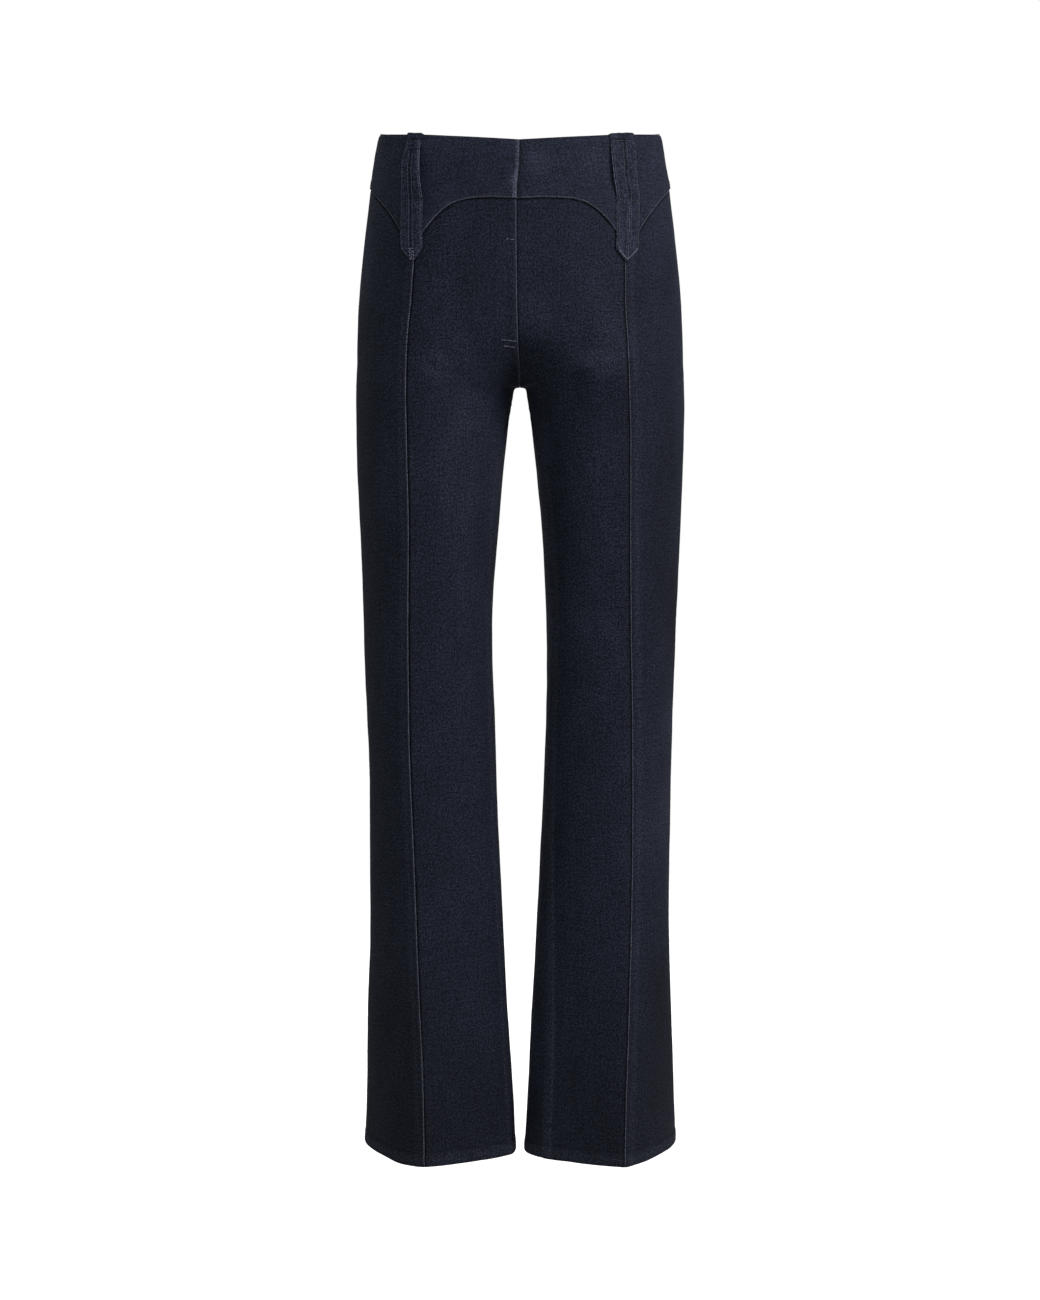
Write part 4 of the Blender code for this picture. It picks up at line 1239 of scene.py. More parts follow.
def allowance_strip(name, side, heights, angles, level=False):
    """The cloth turned in along a seam, lying flat inside the garment; level seams run round."""
    cloth = bpy.context.scene.jeans_cloth
    width = cloth.allowance / MM
    across = np.concatenate([[-1.0, -0.93], np.linspace(-0.8, 0.8, 7), [0.93, 1.0]]) * width
    height, angle = heights[:, None] + 0 * across, angles[:, None] + 0 * across
    if level:
        height = height + across
    else:
        angle = angle + across * per_mm(side, height, angle)
    curl = 0.5 * np.abs(across / width) ** 3 + 0.25 * wander(
        np.stack([height, across + 0 * height], -1), 26.0, 31)
    top = -panel_wall(height) - STRIP_INSIDE - curl
    outer = moved_out(side, height, angle, top)
    inner = moved_out(side, height, angle, top - 0.8)
    outer[..., 2] += hem_rise(side, height, angle)
    inner[..., 2] += hem_rise(side, height, angle)
    masks = {"wear": 0.25 * np.abs(across / width + 0 * height) ** 8, "fade": 0 * height}
    piece = cloth_shell(name, outer, inner, cloth_place(outer, 2.0), masks, [inside_denim()])
    return finish_piece(piece)


STRIP_INSIDE = 1.0           # how far a strip lies inside the wrong side of the panels
STRIP_STEP = 9.0
STRIP_ENDS = (19.0, 17.0, 15.0, 13.0, 7.0, 2.0)


def leg_heights(high):
    """Heights of the rows of a strip down a leg, inside the turned hem too."""
    level = np.arange(high, HEM + STRIP_ENDS[0] + 2, -STRIP_STEP)
    return np.concatenate([level, HEM + np.array(STRIP_ENDS)])


BEAD_THICKER = 1.2           # the stitches along the front seams against the other thread


class JEANS_OT_front_side_panels(bpy.types.Operator):
    """Builds the outer front panels, their stitches and their side seam allowances"""

    bl_idname = "jeans.front_side_panels"
    bl_label = "Front side panels"

    def execute(self, context):
        radius = context.scene.jeans_sewing.thread_radius / MM
        for side in HALVES:
            panel = build_panel("front_side", side)
            runs = [seam_stitches("front_side", side, False, 1.7, HEM + 2, -116, 51)]
            runs.append(hem_stitches("front_side", side, 52))
            stitches = sewn(
                f"front_side_{side}_stitches", *joined(runs), radius, tonal_thread())
            beads = seam_stitches("front_side", side, False, 0.5, HEM + 1, -119, 53)
            edge_stitches = sewn(
                f"front_seam_{side}_edge_stitches", *beads, radius * BEAD_THICKER, edge_thread())
            heights = leg_heights(-36.0)
            strip = allowance_strip(
                f"side_seam_allowance_{side}", side, heights, np.full(len(heights), SIDE_SEAM))
        return {"FINISHED"}


class JEANS_OT_front_centre_panels(bpy.types.Operator):
    """Builds the inner front panels, from the middle front and inseam, with their sewing"""

    bl_idname = "jeans.front_centre_panels"
    bl_label = "Front centre panels"

    def execute(self, context):
        radius = context.scene.jeans_sewing.thread_radius / MM
        for side in HALVES:
            kind = "front_centre"
            panel = build_panel(kind, side)
            runs = [hem_stitches(kind, side, 61)]
            runs.append(seam_stitches(kind, side, False, 1.6, HEM + 2, -262, 62))
            runs.append(seam_stitches(kind, side, False, 8.2, HEM + 2, -262, 63))
            if side == "right":
                runs.append(seam_stitches(kind, side, False, 3.2, -226, -54, 64))
            stitches = sewn(f"front_centre_{side}_stitches", *joined(runs), radius, tonal_thread())
            angle = np.linspace(SIDE_SEAM + 0.5, 89.0, 90)
            waist_strip = allowance_strip(
                f"front_waist_allowance_{side}", side, band_edge("bottom", angle), angle, True)
            heights = leg_heights(-112.0)
            seam_strip = allowance_strip(
                f"front_seam_allowance_{side}", side, heights, front_seam(side, heights))
            heights = leg_heights(-262.0)
            leg_strip = allowance_strip(
                f"inseam_allowance_{side}", side, heights, inseam(side, heights))
        return {"FINISHED"}


class JEANS_OT_back_panels(bpy.types.Operator):
    """Builds the back panels from the middle back and inseam to the side seam, with their sewing"""

    bl_idname = "jeans.back_panels"
    bl_label = "Back panels"

    def execute(self, context):
        radius = context.scene.jeans_sewing.thread_radius / MM
        for side in HALVES:
            panel = build_panel("back", side)
            runs = [hem_stitches("back", side, 71)]
            if side == "right":
                runs.append(seam_stitches("back", side, True, 1.7, -226, -30, 72))
                runs.append(seam_stitches("back", side, True, 6.6, -222, -30, 73))
            stitches = sewn(f"back_{side}_stitches", *joined(runs), radius, tonal_thread())
            angle = np.linspace(SIDE_SEAM + 360.5, 270.5, 40)
            strip = allowance_strip(
                f"back_waist_allowance_{side}", side, band_edge("bottom", angle), angle, True)
            if side == "right":
                fork_facing()
        return {"FINISHED"}


BAND_STEPS = np.array([0.0, 0.3, 0.8, 1.5, 2.4, 3.6, 5.4, 7.4, 9.6])
BAND_ROWS_BETWEEN = 12
LOWER_MOST = 19.0            # greatest height that the rows along the lower edge take up
POINT_ANGLE = 51.0


def band_columns(part):
    """Shares of the way from the side seam to the middle, closer together at the point."""
    if part == "back":
        return np.linspace(0, 1, 72)
    shares = (POINT_ANGLE - SIDE_SEAM) / (90.0 - SIDE_SEAM)
    outer, inner = np.linspace(0, 1, 34), np.linspace(0, 1, 28)
    first = shares * (1 - (1 - outer) ** 1.25)
    last = shares + (1 - shares) * inner**1.25
    return np.concatenate([first, last[1:]])


def band_places(part, side):
    """Heights and ring angles of a waistband piece, from its top edge down."""
    share = band_columns(part)
    direction = -1 if part == "front" else 1
    outer_angle = SIDE_SEAM if part == "front" else SIDE_SEAM + 360.0
    gap = SEAM_GAP / 2 * per_mm(side, np.array(0.0), np.array(SIDE_SEAM)) * -direction
    shares = np.linspace(0, 1, BAND_ROWS_BETWEEN + 2)[1:-1, None]
    angle = mix(outer_angle + gap, 90.0 if part == "front" else 270.0, share)
    angle = np.repeat(angle[None], 2 * len(BAND_STEPS) + BAND_ROWS_BETWEEN, axis=0)
    for _ in range(8):
        first, last = angle[0], angle[-1]
        top, bottom = band_edge("top", first), band_edge("bottom", last) + SEAM_GAP / 2
        upper = BAND_STEPS[:, None] / band_slant(side, "top", first)
        lower = BAND_STEPS[::-1, None] / band_slant(side, "bottom", last)
        lower = np.minimum(lower, LOWER_MOST * BAND_STEPS[::-1, None] / BAND_STEPS[-1])
        between = mix(top - upper[-1], bottom + lower[0], shares)
        height = np.concatenate([top - upper, between, bottom + lower])
        angle = mix(outer_angle + gap, inner_edge(side, height, direction), share)
    return height, angle


def band_gaps(part, side, height, angle):
    """Distances from a waistband piece's top, bottom, side seam and middle edges."""
    direction = -1 if part == "front" else 1
    top = (band_edge("top", angle) - height) * band_slant(side, "top", angle)
    bottom = (height - band_edge("bottom", angle)) * band_slant(side, "bottom", angle)
    outer_angle = SIDE_SEAM if part == "front" else SIDE_SEAM + 360.0
    seam = np.abs(angle - outer_angle) / per_mm(side, height, outer_angle + 0 * height)
    middle_angle = inner_edge(side, height, direction)
    middle = np.abs(middle_angle - angle) / per_mm(side, height, middle_angle)
    return top, bottom, seam, middle


def band_relief(part, side, height, angle):
    """How far the waistband's cloth stands off the form."""
    proud = bpy.context.scene.jeans_cloth.band_proud / MM
    top, bottom, seam, middle = band_gaps(part, side, height, angle)
    points = form_points(side, height, angle)
    seed = 80 + HALVES[side] + (4 if part == "back" else 0)
    relief = proud + 0.35 * wander(points, 55.0, seed) + 0.12 * wander(points, 20.0, seed + 1)
    relief += 0.35 * ramp(10.5, 7.5, bottom) - 0.6 * bump(bottom, 0.7)
    relief -= 0.25 * bump(bottom - 1.9, 0.8)
    relief -= 1.5 * bump(top, 1.5) + 0.8 * bump(top, 6.0) - 0.25 * ramp(12.0, 8.0, top)
    relief -= 0.8 * bump(seam, 1.0) - 0.2 * ramp(12.0, 9.0, seam)
    over = part == "front" and side == "right"
    relief -= (0.4 if over else 1.0) * bump(middle, 0.8)
    relief += (0.3 if over else 0.0) * ramp(8.0, 6.0, middle)
    ripple = pucker(np.degrees(np.radians(angle)) * 2.3, seed + 2)
    relief += 0.22 * ripple * bump(bottom - 2, 6.0) + 0.12 * ripple * bump(top - 4, 5.0)
    return relief


RUBBED_HEIGHT = -36.0        # middle of the rubbed place beside the front closing


def build_band(part, side):
    cloth = bpy.context.scene.jeans_cloth
    name = f"waistband_{part}_{side}"
    height, angle = band_places(part, side)
    relief = band_relief(part, side, height, angle)
    top, bottom, _, middle = band_gaps(part, side, height, angle)
    base, normals = form_points(side, height, angle), form_normals(side, height, angle)
    outer = base + normals * relief[..., None]
    inside = -cloth.band_inside / MM + 0.8 * bump(top, 1.2) + 0.5 * bump(bottom, 1.0)
    inner = base + normals * inside[..., None]
    wear = 0.5 * bump(bottom - 0.1, 0.5) + 0.04 * bump(bottom - 3, 2.0)
    # Painted shade: darker in the groove above the lower edge, along the top fold and, on the
    # wearer's left, beside the lapped middle front; the fade mask also holds broad painted light
    # and shade with the real fading.
    painted_shade = 0.4 * bump(bottom - 1.9, 0.6) + 0.5 * bump(top, 0.9)
    if part == "front":
        streaks = 0.9 + 0.5 * wander(np.stack([middle * 3, height * 0.7], -1), 6.0, 87)
        rubbed = bump(middle - 4.6, 4.4) * bump(height - RUBBED_HEIGHT, 9.0) * streaks
        rubbed = np.clip(rubbed, 0, 1) * (side == "right")
        edge = 0.5 + 0.25 * bump(height - RUBBED_HEIGHT - 2, 12.0) + 0.6 * bump(bottom - 3, 4.0)
        wear = wear + (edge if side == "right" else 0.05) * bump(middle, 0.45) + 0.2 * rubbed
        painted_shade = painted_shade + (0.0 if side == "right" else 0.9) * bump(middle, 1.0)
    masks = {"wear": np.clip(wear, 0, 1), "fade": mix(fading_and_painted_light(side, base), -PAINTED_SHADE_FADE, painted_shade)}
    piece = cloth_shell(
        f"{name}_cloth", outer, inner, cloth_place(outer, 5.0 + HALVES[side]), masks,
        [band_denim(), inside_denim()])
    return finish_piece(piece, name)


def band_stitches(part, side, edge, distance, seed):
    """A row of stitches along an edge of the waistband."""
    sewing = bpy.context.scene.jeans_sewing
    if part == "front":
        angle = np.linspace(SIDE_SEAM + 0.6, 89.4, 240)
    else:
        angle = np.linspace(270.6, 353.4, 160)
    way = 1 if edge == "bottom" else -1
    height = band_edge(edge, angle) + way * distance / band_slant(side, edge, angle)

    def surface(height, angle):
        return band_relief(part, side, height, angle)

    points, normals = cloth_line(surface, side, height, angle)
    return run_of_stitches(points, normals, sewing.seam_pitch / MM, seed=seed)


def middle_strip(part):
    """The facing behind the middle front or middle back seam, across both halves."""
    cloth = bpy.context.scene.jeans_cloth
    direction, top_angle = (-1, 90.0) if part == "front" else (1, 270.0)
    top = float(band_edge("top", np.array(top_angle))) - FACING_TOP
    heights = np.arange(top, FACING_FOOT, -6.0)
    across = np.linspace(0, 1, 6) * cloth.allowance / MM
    halves = []
    for side in ("right", "left"):
        height = heights[:, None] + 0 * across
        middle = inner_edge(side, height, direction)
        angle = middle + direction * across * per_mm(side, height, middle)
        depth = -cloth.band_inside / MM - FACING_INSIDE - 0.5 * (across / across[-1]) ** 3
        halves.append([moved_out(side, height, angle, depth - d + 0 * height) for d in (0, 0.9)])
    outer, inner = (
        np.concatenate([halves[0][k][:, ::-1], halves[1][k][:, 1:]], axis=1) for k in (0, 1))
    masks = {"wear": 0 * outer[..., 0], "fade": 0 * outer[..., 0]}
    piece = cloth_shell(
        f"middle_{part}_facing", outer, inner, cloth_place(outer, 9.0), masks, [inside_denim()])
    return finish_piece(piece)


def fork_facing():
    """The narrow facing behind the middle seam, from the front round under the fork to the back."""
    heights = np.array([
        -204.0, -209.0, -214.0, -219.0, -223.5, -227.5, -231.0, -234.0, -236.5, -238.5])
    front = form_points("left", heights, angle_at(heights, 0.0, 0.0, 180.0))[:, 1:]
    back = form_points("left", heights, angle_at(heights, 0.0, 360.0, 180.0))[::-1, 1:]
    line = np.concatenate([front, back])
    way = np.gradient(line, axis=0)
    inward = np.stack([-way[:, 1], way[:, 0]], -1) / np.linalg.norm(way, axis=1, keepdims=True)
    across = np.linspace(-FORK_FACING / 2, FORK_FACING / 2, 5)
    layers = []
    for depth in (FORK_INSIDE, FORK_INSIDE + 0.8):
        points = np.zeros((len(line), len(across), 3))
        points[..., 0] = across
        points[..., 1:] = (line + inward * depth)[:, None]
        layers.append(points)
    masks = {"wear": np.zeros(points.shape[:2]), "fade": np.zeros(points.shape[:2])}
    along = np.arange(len(line))[:, None] * 5 * MM
    place = np.stack(np.broadcast_arrays(across * MM + 9.0, along), -1)
    piece = cloth_shell("fork_facing", *layers, place, masks, [inside_denim()])
    return finish_piece(piece)


FORK_FACING = 9.0            # width of the facing behind the fork
FORK_INSIDE = 1.35           # and how far it lies inside the form
FACING_TOP = 5.0             # the facings start this far below the top edge
FACING_FOOT = -214.0
FACING_INSIDE = 0.9


class JEANS_OT_waistband(bpy.types.Operator):
    """Builds the four waistband pieces, pointed at the front seams, and their edge stitching"""

    bl_idname = "jeans.waistband"
    bl_label = "Waistband"

    def execute(self, context):
        radius = context.scene.jeans_sewing.thread_radius / MM
        for part in ("front", "back"):
            for side in HALVES:
                band = build_band(part, side)
                runs = [band_stitches(part, side, "bottom", 0.9, 81)]
                stitches = sewn(
                    f"waistband_{part}_{side}_stitches", *joined(runs), radius, edge_thread())
                if side == "right":
                    middle_strip(part)
        return {"FINISHED"}


# ---------------------------------------------------------------- belt loops

LOOP_THICK = 1.8
LOOP_TUCK = 13.0
LOOP_TIP_LENGTH = 14.0
LOOP_TIP_HALF = 1.0
LOOP_INSIDE = -3.6           # offset of the loop's middle layer inside the waistband
LOOP_OUTSIDE = 2.1           # and outside it, where it is sewn down
LOOP_CROWN = 0.4             # height of the fold over the top edge
LOOPS = {
    "front": {"top_angle": 45.2, "end_angle": 49.6, "free_from": 10.0, "free_to": -51.0,
              "end": -115.0, "slack": 4.4, "pointed": True},
    "back": {"top_angle": -52.0, "end_angle": -52.0, "free_from": 22.0, "free_to": -24.0,
             "end": -38.0, "slack": 4.2, "pointed": False},
}
# By height: half width and how far the loop's middle is shifted outwards.
LOOP_SHAPES = {
    "front_right": ((-115.0, 12.8, -4.2), (-90.0, 12.9, -2.6), (-68.0, 12.9, -2.3),
                    (-52.0, 13.0, -2.0), (-33.0, 11.4, -2.4), (-9.0, 10.5, -1.7),
                    (5.0, 8.9, -2.0), (20.0, 9.2, -1.6)),
    "front_left": ((-115.0, 13.1, -5.6), (-90.0, 13.1, -3.5), (-68.0, 13.6, -2.8),
                   (-50.0, 14.0, -1.8), (-24.0, 13.8, -5.6), (-6.0, 14.4, -5.7),
                   (10.0, 14.4, -5.1), (24.0, 14.0, -5.4)),
    "back_right": ((-24.0, 13.5, 0.0), (0.0, 12.8, 0.4), (34.0, 13.2, 0.0)),
    "back_left": ((-24.0, 13.5, 0.0), (2.0, 12.9, -0.4), (34.0, 13.2, 0.0)),
}
LOOP_EDGE_LIFT = 1.7         # how much further the edge towards the middle stands off
LOOP_CLOSE = 0.5             # the front loop on the wearer's left lies closer, by this share
CROSS_ROWS = {"front": (10.6, -52.0, -82.0), "back": (23.0, -25.5, -34.0)}
LOOP_COLUMNS = np.array([
    -1.0, -0.985, -0.95, -0.89, -0.8, -0.68, -0.52, -0.36, -0.24, -0.15, -0.08, -0.03, 0.0,
    0.03, 0.08, 0.15, 0.24, 0.36, 0.52, 0.68, 0.8, 0.89, 0.95, 0.985, 1.0])


def loop_line(part):
    """Offset and height along the middle layer of a loop, from inside the waist to its tip."""
    loop = LOOPS[part]
    top = float(band_edge("top", np.array(loop["top_angle"])))
    up = np.arange(top - LOOP_TUCK, top, 1.2)
    turn = np.linspace(0, math.pi, 11)
    middle, reach = (LOOP_INSIDE + LOOP_OUTSIDE) / 2, (LOOP_OUTSIDE - LOOP_INSIDE) / 2
    over = np.stack([middle - reach * np.cos(turn), top + 0.1 + LOOP_CROWN * np.sin(turn)], -1)
    down = np.arange(top - 1.0, loop["free_from"], -1.0)
    free = np.linspace(loop["free_from"], loop["free_to"], 52)
    share = (loop["free_from"] - free) / (loop["free_from"] - loop["free_to"])
    bow = loop["slack"] * np.sin(math.pi * share) ** 0.8
    sewn_down = np.arange(loop["free_to"] - 1.0, loop["end"], -1.0)
    offset = np.concatenate([
        np.full(len(up), LOOP_INSIDE), over[:, 0], np.full(len(down), LOOP_OUTSIDE),
        LOOP_OUTSIDE + bow, np.full(len(sewn_down) + 1, LOOP_OUTSIDE)])
    height = np.concatenate([up, over[:, 1], down, free, sewn_down, [loop["end"]]])
    lifted = np.concatenate([
        np.zeros(len(up) + len(over) + len(down)), bow / loop["slack"],
        np.zeros(len(sewn_down) + 1)])
    inside = np.concatenate([np.ones(len(up)), 1 - np.arange(11) / 10.0])
    inside = np.concatenate([inside, np.zeros(len(offset) - len(inside))])
    return offset, height, lifted, inside


def loop_surface(part, side, along, across):
    """Points and facing of a loop's outer cloth at places along its line and shares across it."""
    loop = LOOPS[part]
    offset, height, lifted, _ = loop_line(part)
    way = np.stack([np.gradient(offset), np.gradient(height)], -1)
    way /= np.linalg.norm(way, axis=-1, keepdims=True)

    def at(values):
        return np.interp(along, np.arange(len(values)), values)

    off, level, raised = at(offset), at(height), at(lifted)
    close = LOOP_CLOSE if (part, side) == ("front", "left") else 1.0
    off = np.where(off > LOOP_OUTSIDE, mix(LOOP_OUTSIDE, off, close), off)
    out, up = at(-way[:, 1]), at(way[:, 0])
    top = float(band_edge("top", np.array(loop["top_angle"])))
    shape = LOOP_SHAPES[f"{part}_{side}"]
    half = Curve([row[0] for row in shape], [row[1] for row in shape])(level)
    shift = Curve([row[0] for row in shape], [row[2] for row in shape])(level)
    if loop["pointed"]:
        taper = np.clip((level - loop["end"]) / LOOP_TIP_LENGTH, 0, 1)
        half = np.where(taper < 1, mix(LOOP_TIP_HALF, half, 1 - (1 - taper) ** 1.3), half)
    middle = mix(loop["top_angle"], loop["end_angle"], (top - level) / (top - loop["end"]))
    distance = half * across - shift
    angle = middle + distance * per_mm(side, level, middle + 0 * level)
    follow = ramp(loop["free_to"], top, level) ** 0.5
    level = level + follow * (band_edge("top", angle) - top)
    toward_middle = across if part == "front" else -across
    lift = LOOP_EDGE_LIFT * close * raised * (0.5 + 0.5 * toward_middle) ** 2
    return level, angle, off + lift, out, up, half


def loop_relief(part, side, along, across):
    """Relief of a loop's face: rounded edges, a middle join and sunk stitch rows."""
    level, _, _, _, _, half = loop_surface(part, side, along, across)
    edge = (1 - np.abs(across)) * half
    middle = np.abs(across) * half
    relief = -0.75 * bump(edge, 0.9) + 0.2 * bump(edge - 2.6, 1.4)
    relief -= (
        0.6 * bump(middle, 0.6) + 0.14 * bump(middle - 2.1, 0.6) + 0.16 * bump(edge - 1.7, 0.5))
    for row in CROSS_ROWS[part]:
        relief -= 0.5 * bump(level - row, 0.9) - 0.25 * bump(level - row + 3.0, 2.2)
    relief += 0.16 * pucker(level * 1.4 + 3 * across, 91) * bump(edge - 2, 4.0)
    relief += 0.14 * wander(np.stack([level, across * half], -1), 12.0, 92 + HALVES[side])
    return relief


def loop_points(part, side, along, across, out_by):
    """Points on a loop, a distance out from its middle layer."""
    level, angle, offset, out, up, _ = loop_surface(part, side, along, across)
    return moved_out(side, level + up * out_by, angle, offset + out * out_by)


def build_loop(part, side):
    name = f"belt_loop_{part}_{side}"
    count = len(loop_line(part)[0])
    along, across = np.meshgrid(np.arange(count, dtype=float), LOOP_COLUMNS, indexing="ij")
    relief = loop_relief(part, side, along, across)
    level, _, _, _, _, half = loop_surface(part, side, along, across)
    edge = (1 - np.abs(across)) * half
    outer = loop_points(part, side, along, across, LOOP_THICK / 2 + relief)
    inner = loop_points(part, side, along, across, -LOOP_THICK / 2 + 0.5 * bump(edge, 0.8))
    lifted = np.interp(along, np.arange(count), loop_line(part)[2])
    toward_middle = across > 0
    middle = np.abs(across) * half
    if part == "back":
        rolled = 0.25
    elif side == "right":
        rolled = 0.15 + 0.85 * lifted**0.7
    else:
        rolled = 0.6 + 0.35 * lifted**0.7
    wear = bump(edge, 0.45) * np.where(toward_middle, rolled, 0.0)
    if (part, side) == ("front", "left"):
        wear += 0.55 * bump(across * half + 0.3, 0.45) * ramp(-48.0, -58.0, level)
    wear += 0.07 * bump(edge - 3, 1.5)
    # Painted shade: darker in the middle join, beside the stitch rows, along the outer edge and at
    # the cross rows.
    painted_shade = 0.9 * bump(middle, 0.5) + 0.5 * bump(edge - 1.9, 0.7) + 0.5 * bump(middle - 2.1, 0.6)
    painted_shade += 1.0 * bump(edge, 0.8) * (across < 0)
    for row in CROSS_ROWS[part]:
        painted_shade += 1.0 * bump(level - row, 0.8)
    tone = 0.3 * (part == "front") * ramp(-82.0, -96.0, level) - 0.5 * (side == "left")
    fade = tone + 0.35 * wander(np.stack([level, across * 13], -1), 11.0, 95 + HALVES[side])
    fade = mix(fade, -PAINTED_SHADE_FADE, np.clip(painted_shade, 0, 1))
    place = np.stack([across * half * MM + 7.0 + HALVES[side], -along * MM], -1)
    piece = cloth_shell(
        f"{name}_cloth", outer, inner, place, {"wear": np.clip(wear, 0, 1), "fade": fade},
        [loop_denim()])
    return finish_piece(piece, name)


def loop_row(part, side, across_mm, first, last, seed, pitch):
    """A row of stitches down a loop, across_mm from its middle line (or from an edge if text)."""
    _, height, _, inside = loop_line(part)
    outer = np.flatnonzero(inside == 0)
    along = np.interp(np.linspace(first, last, 120), height[outer][::-1], outer[::-1].astype(float))
    half = loop_surface(part, side, along, np.zeros(120))[-1]
    sign, from_edge, distance = across_mm
    across = sign * (1 - distance / half) if from_edge else sign * distance / half
    relief = loop_relief(part, side, along, across)
    points = loop_points(part, side, along, across, LOOP_THICK / 2 + relief + 0.1)
    normals = form_normals(side, *loop_surface(part, side, along, across)[:2])
    return run_of_stitches(points, normals, pitch, seed=seed)


def loop_cross_row(part, side, level, seed, pitch, reach=0.82):
    """A row of stitches across a loop."""
    _, height, _, inside = loop_line(part)
    outer = np.flatnonzero(inside == 0)
    along = np.full(30, np.interp(level, height[outer][::-1], outer[::-1].astype(float)))
    across = np.linspace(-reach, reach, 30)
    points = loop_points(
        part, side, along, across, LOOP_THICK / 2 + loop_relief(part, side, along, across) + 0.1)
    normals = form_normals(side, *loop_surface(part, side, along, across)[:2])
    return run_of_stitches(points, normals, pitch, seed=seed)


def loop_stitches(part, side):
    """All the tonal rows of a loop."""
    pitch = bpy.context.scene.jeans_sewing.loop_pitch / MM
    loop = LOOPS[part]
    top = 12.5 if part == "front" else 26.0
    inner_top = -4.0 if (part, side) == ("front", "right") else top - 4
    end = loop["end"] + (LOOP_TIP_LENGTH + 1 if loop["pointed"] else 2)
    runs = []
    for sign in (-1, 1):
        runs.append(loop_row(part, side, (sign, True, 1.9), top, end, 101 + sign, pitch))
        runs.append(loop_row(part, side, (sign, False, 2.1), inner_top, end - 3, 103 + sign, pitch))
    if loop["pointed"]:
        for sign in (-1, 1):
            tip = end - LOOP_TIP_LENGTH + 3.5
            runs.append(loop_row(part, side, (sign, True, 1.9), end - 0.5, tip, 105 + sign, pitch))
    for k, level in enumerate(CROSS_ROWS[part]):
        runs.append(loop_cross_row(part, side, level, 107 + k, pitch))
    return runs


def tack(points, normals, way, width, pitch=0.42, seed=3):
    """Close zigzag stitches across a short line."""
    steps = np.linalg.norm(np.diff(points, axis=0), axis=-1)
    along = np.concatenate([[0], np.cumsum(steps)])
    count = max(2, int(along[-1] / pitch))
    numbers = np.random.default_rng(seed)
    places = np.linspace(0, along[-1], count)
    centre = np.stack([np.interp(places, along, points[:, i]) for i in range(3)], -1)
    facing = np.stack([np.interp(places, along, normals[:, i]) for i in range(3)], -1)
    reach = way * (width / 2) * numbers.uniform(0.85, 1.1, (count, 1))
    slant = np.gradient(centre, axis=0) * numbers.uniform(0.2, 0.6, (count, 1))
    return centre - reach - slant, centre + reach + slant, facing


def tip_tacks(side):
    """The paler tacks that hold the point of a front loop: up its middle or along its edges."""
    end = LOOPS["front"]["end"]
    _, height, _, inside = loop_line("front")
    outer = np.flatnonzero(inside == 0)
    level = np.linspace(end + 12.5, end + 2.0, 20)
    along = np.interp(level, height[outer][::-1], outer[::-1].astype(float))
    half = loop_surface("front", side, along, np.zeros(20))[-1]
    if side == "right":
        tacks = ((-1.6 / half, 1.5, 2.2), (0.4 / half, 1.8, 1.7), (2.4 / half, 1.5, 2.4))
    else:
        tacks = tuple((sign * np.maximum(0.0, 1 - 2.0 / half), 1.6, 1.2) for sign in (-1, 1))
    runs = []
    for k, (across, width, pitch) in enumerate(tacks):
        relief = loop_relief("front", side, along, across)
        points = loop_points("front", side, along, across, LOOP_THICK / 2 + relief + 0.15)
        normals = form_normals(side, *loop_surface("front", side, along, across)[:2])
        way = np.cross(normals, np.gradient(points, axis=0))
        way = (way / np.linalg.norm(way, axis=-1, keepdims=True)).mean(0)
        runs.append(tack(points, normals, way, width, pitch, seed=110 + k))
    return runs


class JEANS_OT_front_loops(bpy.types.Operator):
    """Builds the long pointed front belt loops, with their stitch rows and tacks"""

    bl_idname = "jeans.front_loops"
    bl_label = "Front belt loops"

    def execute(self, context):
        radius = context.scene.jeans_sewing.loop_thread_radius / MM
        for side in HALVES:
            loop = build_loop("front", side)
            stitches = sewn(
                f"belt_loop_front_{side}_stitches", *joined(loop_stitches("front", side)),
                radius, loop_thread())
            tacks = sewn(
                f"belt_loop_front_{side}_tacks", *joined(tip_tacks(side)), radius, tack_thread())
        return {"FINISHED"}


class JEANS_OT_back_loops(bpy.types.Operator):
    """Builds the two plain back belt loops with their stitch rows"""

    bl_idname = "jeans.back_loops"
    bl_label = "Back belt loops"

    def execute(self, context):
        radius = context.scene.jeans_sewing.loop_thread_radius / MM
        for side in HALVES:
            loop = build_loop("back", side)
            stitches = sewn(
                f"belt_loop_back_{side}_stitches", *joined(loop_stitches("back", side)),
                radius, loop_thread())
        return {"FINISHED"}


# Tacks beside the middle front, on the wearer's right: height and distance from the seam at each
# end, and width.
FLY_TACKS = (
    (-94.4, 9.6, -95.0, 4.4, 1.5), (-197.2, 17.0, -197.8, 2.6, 1.5),
    (-203.2, 15.0, -203.8, 5.0, 1.7))


MIDDLE_BEADS = (-237.0, -55.0)   # heights between which the middle front seam is edge stitched


class JEANS_OT_front_tacks(bpy.types.Operator):
    """Sews the small pale tacks beside the middle front and the stitches along its edge"""

    bl_idname = "jeans.front_tacks"
    bl_label = "Front tacks"

    def execute(self, context):
        radius = context.scene.jeans_sewing.loop_thread_radius / MM
        runs = []
        for k, (high, first, low, last, width) in enumerate(FLY_TACKS):
            height = np.linspace(high, low, 24)
            middle = inner_edge("right", height, -1)
            angle = middle - np.linspace(first, last, 24) * per_mm("right", height, middle)
            points, normals = cloth_line(
                panel_surface("front_centre", "right"), "right", height, angle, lift=0.15)
            runs.append(tack(points, normals, np.array([0.0, 0.0, 1.0]), width, 1.9, seed=120 + k))
        sewn("middle_front_tacks", *joined(runs), radius, tack_thread())
        beads = seam_stitches("front_centre", "right", False, 0.5, *MIDDLE_BEADS, 125)
        sewn("middle_front_edge_stitches", *beads, radius, edge_thread())
        return {"FINISHED"}


# ---------------------------------------------------------------- stage

